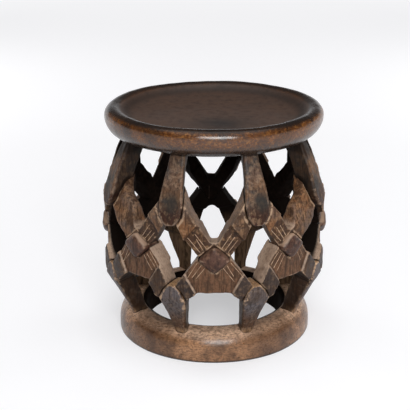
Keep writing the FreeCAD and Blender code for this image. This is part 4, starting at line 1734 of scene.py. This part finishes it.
@dataclass
class Pod:
    """A pod between two crossings, hanging or standing.

    Sizes are in millimetres. A facing is a span of the surface's direction and a bend one of
    its curvature in 1/mm. The far side is a span across the stool from its front, at -1, to its
    axis, and the other spans run along the pod from its tip, at 0, to its other end, at 1.
    """

    kind: PodKind
    number: int
    finish: bpy.types.Material
    inside: bpy.types.Material
    voxel: float = 1.4
    passes: int = 5
    grow: float = 0.6
    cut: float = 1.0
    cut_length: float = 32.0
    tool: float = 0.4
    tool_length: float = 10.0
    shift: float = 7.0
    tool_shift: float = 3.0
    sink: float = 3.5
    flare: float = 3.0
    heel: Span = (0.82, 1.0)
    darkening: float = 1.8
    bruise: float = 0.34
    bruise_size: Span = (13.0, 0.15)
    bruise_swing: float = 9.0
    bruise_turn: float = 2.4
    flank_facing: Span = (0.45, 0.75)
    flank_shade: float = 0.6
    ledge_facing: Span = (0.3, 0.7)
    tip: Span = (0.12, 0.42)
    worn_bend: Span = (0.08, 0.28)
    worn_fade: Span = (0.3, 0.7)
    worn_least: float = 0.4
    far_side: Span = (-0.85, -0.6)
    root: Span = (0.66, 0.9)
    root_shade: float = 0.25
    lit_pale: float = 0.24
    lit_pale_start: Span = (0.44, 0.64)
    lit_pale_end: Span = (0.84, 1.0)
    lit_pale_facing: Span = (0.6, 0.9)
    brown: Span = (0.4, 0.8)
    heel_rub: float = 0.55
    heel_rub_span: Span = (0.84, 1.0)
    outer: float = 186.0

    @property
    def node(self) -> str:
        """Names the pod's CAD node."""
        return f"{self.kind.value}_pod_{self.number}"

    @property
    def hangs(self) -> bool:
        """Tells a hanging pod from a standing one."""
        return self.kind is PodKind.HANGING

    @property
    def neighbours(self) -> list[str]:
        """Names the two arms that join the pod, and the seat or the base.

        Returns:
            Their CAD nodes.
        """
        storey, end = ("upper", "seat") if self.hangs else ("lower", "base_ring")
        following = self.number % CROSSINGS + 1
        return [f"{storey}_arm_{self.number}_right", f"{storey}_arm_{following}_left", end]

    def from_tip(self, points: np.ndarray) -> np.ndarray:
        """Measures each point's way along the pod.

        Args:
            points: Places in metres.

        Returns:
            0 at the tip and 1 at the other end.
        """
        bottom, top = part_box(self.node)
        tip, end = (bottom.z, top.z) if self.hangs else (top.z, bottom.z)
        return (points[:, 2] - tip) / (end - tip)

    def build(self, low: Vector, high: Vector) -> Carving:
        """Carves the pod and sinks its end into the seat or the base.

        Args:
            low: Lowest corner of the whole stool.
            high: Highest corner of the whole stool.

        Returns:
            The pod's carving.
        """
        carving = Carving.from_nodes("carved_" + self.node, [self.node], self.voxel)
        carving.soften(self.passes)
        offset = self.number * self.shift + self.hangs
        carving.uneven(self.grow, self.cut, self.cut_length, offset)
        carving.uneven(0.0, self.tool, self.tool_length, offset + self.tool_shift)
        if not self.hangs:
            spread = smooth_step(self.from_tip(carving.points), *self.heel) ** 2
            carving.points += carving.normals() * (spread * self.flare * MM)[:, None]
        reach = self.sink * MM if self.hangs else -self.sink * MM
        carving.points[:, 2] += reach * np.clip(self.from_tip(carving.points), 0.0, 1.0) ** 2
        carving.warp(WARP_MM, WARP_LENGTH_MM)
        carving.keep_within(low, high)
        return carving

    def bruised(self, points: np.ndarray) -> np.ndarray:
        """Lays one dark bruise on the pod's face, off the middle by turns.

        Args:
            points: Places in metres.

        Returns:
            1 in the middle of the bruise, 0 away from it.
        """
        middle = points.mean(axis=0)
        turn = turn_of(points, math.atan2(middle[0], -middle[1]))
        swing = self.bruise_swing * math.sin(self.number * self.bruise_turn)
        across = turn * self.outer - swing
        along = self.from_tip(points) - self.bruise
        return np.exp(-(across / self.bruise_size[0]) ** 2 - (along / self.bruise_size[1]) ** 2)

    def dress(self, carving: Carving) -> bpy.types.Object:
        """Marks the pod's edges, tip and inner faces, and puts it on the stool.

        Args:
            carving: The carved pod.

        Returns:
            The piece.
        """
        normals = carving.normals()
        bend = carving.bend()
        part = self.from_tip(carving.points)
        facing = facing_out(carving.points, normals)
        flank = 1.0 - smooth_step(np.abs(facing), *self.flank_facing)
        ledge = smooth_step(normals[:, 2], *self.ledge_facing)
        shade = deep_shade(carving.points, normals, self.outer * MM)
        fade = 1.0 - smooth_step(part, *self.worn_fade)
        worn = smooth_step(bend, *self.worn_bend)
        worn *= self.worn_least + (1.0 - self.worn_least) * fade
        gap = joint_gap(carving.points, self.neighbours, self.darkening)
        # Painted shade on the side faces that don't look up.
        hollow = flank * (1.0 - ledge) * self.flank_shade
        hollow = np.maximum(hollow, joint_dirt_and_shade(carving.points, gap, self.darkening))
        if self.hangs:
            zone = 1.0 - smooth_step(part, *self.tip)
            rub = self.bruised(carving.points)
            # Painted shade under the seat: the top of each hanging pod darkens, most on the pods
            # turned from the front.
            turned = smooth_step(carving.points[:, 1] / self.outer / MM, *self.far_side)
            root = self.root_shade + (1.0 - self.root_shade) * turned
            hollow = np.maximum(hollow, root * smooth_step(part, *self.root))
            # Painted light: the upper outer faces of the two front hanging pods are paler, as lit
            # from the front.
            lit_pale_share = smooth_step(part, *self.lit_pale_start)
            lit_pale_share *= 1.0 - smooth_step(part, *self.lit_pale_end)
            lit_pale_share *= smooth_step(facing, *self.lit_pale_facing) * (1.0 - turned)
            worn = np.maximum(worn, self.lit_pale * lit_pale_share)
        else:
            zone = np.maximum(smooth_step(part, *self.brown), flank)
            # Painted light: faces that look up are tan, as lit from above, as well as rubbed; the
            # heels are rubbed tan.
            rub = np.maximum(ledge, self.heel_rub * smooth_step(part, *self.heel_rub_span))
        mark(carving.mesh, np.stack([worn, hollow, zone, shade, rub], axis=1))
        materials = [self.finish, self.inside]
        piece = place_piece("carved_" + self.node, carving.mesh, materials, [self.node])
        blacken(carving.mesh, shade, 1)
        return piece


@dataclass(frozen=True)
class Lamp:
    """One soft box, in metres and watts. Polished wood shows it only if it is mirrored."""

    name: str
    spot: Spot
    aim: Spot
    size: Span
    watts: float
    mirrored: bool = True

    def hang(self) -> bpy.types.Object:
        """Hangs the soft box and turns it to the point it looks at.

        Returns:
            The lamp.
        """
        data = bpy.data.lights.new(self.name, "AREA")
        data.shape = "RECTANGLE"
        data.size, data.size_y = self.size
        data.energy = self.watts
        lamp = in_scene(self.name, data)
        lamp.location = self.spot
        lamp.visible_glossy = self.mirrored
        way = Vector(self.aim) - Vector(self.spot)
        lamp.rotation_euler = way.to_track_quat("-Z", "Y").to_euler()
        return lamp


# A key light from the front, a large one overhead, and fills that no polish shows.
LAMPS = (
    Lamp("key", (0.16, -2.0, 1.4), (0.0, 0.0, 0.25), (1.1, 0.8), 37.0),
    Lamp("overhead", (0.0, -0.4, 2.6), (0.0, 0.0, 0.2), (2.8, 2.4), 16.0),
    Lamp("left fill", (-1.9, 1.7, 1.0), (0.0, 0.0, 0.2), (1.2, 1.2), 26.0, mirrored=False),
    Lamp("right fill", (1.9, 1.7, 1.0), (0.0, 0.0, 0.2), (1.2, 1.2), 26.0, mirrored=False),
    Lamp("right side", (1.9, -1.0, 0.9), (0.0, 0.0, 0.2), (1.0, 1.0), 9.0, mirrored=False),
)


@dataclass
class Studio:
    """Pale floor with low walls, soft lamps and the camera, in metres."""

    floor_half: float = 9.0
    wall_height: float = 2.1
    floor_colour: str = "#b8b8ba"
    floor_rough: float = 0.9
    glow_colour: str = "#fdfdff"
    glow_in_painted_shadow: float = 0.46
    glow_around: float = 0.58
    glow_away: float = 0.28
    ring: Span = (0.1, 0.24)
    away: Span = (1.2, 4.0)
    lens_px: float = 1064.52
    frame_px: float = 410.0
    shift_px: float = -9.15
    sensor_mm: float = 36.0
    camera_spot: Spot = (0.0, -1.69885, 0.80882)
    camera_pitch: float = 70.671
    ambient: float = 0.09
    ambient_colour: str = "#ffffff"

    def camera(self) -> bpy.types.Object:
        """Sets up the camera of the photograph.

        Returns:
            The camera.
        """
        data = bpy.data.cameras.new("camera")
        data.sensor_width = self.sensor_mm
        data.lens = self.sensor_mm * self.lens_px / self.frame_px
        data.shift_x = self.shift_px / self.frame_px
        camera = in_scene("camera", data)
        camera.location = self.camera_spot
        camera.rotation_euler = (math.radians(self.camera_pitch), 0.0, 0.0)
        bpy.context.scene.camera = camera
        return camera

    def floor(self) -> bpy.types.Object:
        """Lays the pale floor, which keeps the stool's shadow, with low walls round it.

        Returns:
            The floor.
        """
        half = self.floor_half
        mesh = bpy.data.meshes.new("floor")
        square = ((-half, -half), (half, -half), (half, half), (-half, half))
        corners = [(*spot, level) for level in (0.0, self.wall_height) for spot in square]
        count = len(square)
        around = [(side, (side + 1) % count) for side in range(count)]
        walls = [(side, side + count, after + count, after) for side, after in around]
        mesh.from_pydata(corners, [], [tuple(range(count)), *walls])
        material = blank_material("matt white floor")
        tree = material.node_tree
        path = add_node(tree, "ShaderNodeLightPath").outputs
        seen = path["Is Camera Ray"]
        for ray in ("Is Glossy Ray", "Is Transmission Ray"):
            seen = add_node(
                tree, "ShaderNodeMath", {0: seen, 1: path[ray]}, operation="MAXIMUM"
            ).outputs["Value"]
        place = add_node(tree, "ShaderNodeTexCoord").outputs["Object"]
        away = add_node(
            tree, "ShaderNodeVectorMath", {0: place}, operation="LENGTH"
        ).outputs["Value"]
        # Painted shadow: the floor glows less inside the base ring and brightens just outside it.
        glow = add_node(
            tree, "ShaderNodeMapRange",
            {"Value": away, "From Min": self.ring[0], "From Max": self.ring[1],
             "To Min": self.glow_in_painted_shadow, "To Max": self.glow_around},
        ).outputs["Result"]
        more = add_node(
            tree, "ShaderNodeMapRange",
            {"Value": away, "From Min": self.away[0], "From Max": self.away[1],
             "To Max": self.glow_away},
        ).outputs["Result"]
        for term, operation in ((more, "ADD"), (seen, "MULTIPLY")):
            glow = add_node(
                tree, "ShaderNodeMath", {0: glow, 1: term}, operation=operation
            ).outputs["Value"]
        surface = add_node(
            tree, "ShaderNodeBsdfPrincipled",
            {"Base Color": linear(self.floor_colour), "Roughness": self.floor_rough,
             "Emission Color": linear(self.glow_colour), "Emission Strength": glow},
        ).outputs["BSDF"]
        add_node(tree, "ShaderNodeOutputMaterial", {"Surface": surface})
        mesh.materials.append(material)
        floor = in_scene("floor", mesh)
        floor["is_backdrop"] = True
        return floor

    def world(self) -> None:
        """Fills the room with even white light."""
        world = bpy.data.worlds.new("pale room")
        world.use_nodes = True
        background = world.node_tree.nodes["Background"]
        background.inputs["Color"].default_value = linear(self.ambient_colour)
        background.inputs["Strength"].default_value = self.ambient
        bpy.context.scene.world = world

    def build(self) -> None:
        """Sets up floor, world, lamps and camera."""
        bpy.context.scene.view_settings.view_transform = "Standard"
        self.camera()
        self.floor()
        self.world()
        for lamp in LAMPS:
            lamp.hang()


def main() -> None:
    """Builds the stool piece by piece, then the studio."""
    logging.basicConfig(level=logging.INFO, format="%(message)s")
    noise.seed_set(WARP_SEED)
    low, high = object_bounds()
    soot_and_shade = SOOT_SHADE_WOOD.material()
    seat = Seat()
    seat.dress(seat.build(), soot_and_shade)
    base = BaseRing()
    base.dress(base.build(), soot_and_shade)
    finishes = LatticeFinishes(
        arms={Rank.UPPER: UPPER_ARM_WOOD.material(), Rank.LOWER: LOWER_ARM_WOOD.material()},
        boss=BOSS_WOOD.material(),
        incised=INCISED_WOOD.material(),
        inside={Rank.UPPER: soot_and_shade, Rank.LOWER: SMOKE_SHADED_WOOD.material()},
    )
    lines = KnifeLines()
    for number in range(1, CROSSINGS + 1):
        crossing = Crossing(number, lines, finishes, LEAF_SIDES.get(number, 0))
        crossing.build_boss(low, high)
        for rank in Rank:
            crossing.build_arms(rank, low, high)
    pods = {
        PodKind.HANGING: (HANGING_POD_WOOD.material(), finishes.inside[Rank.UPPER]),
        PodKind.FOOT: (FOOT_POD_WOOD.material(), finishes.inside[Rank.LOWER]),
    }
    for kind, (finish, inside) in pods.items():
        for number in range(1, CROSSINGS + 1):
            pod = Pod(kind, number, finish, inside)
            pod.dress(pod.build(low, high))
    Studio().build()
    bpy.context.view_layer.update()


if __name__ == "__main__":
    main()
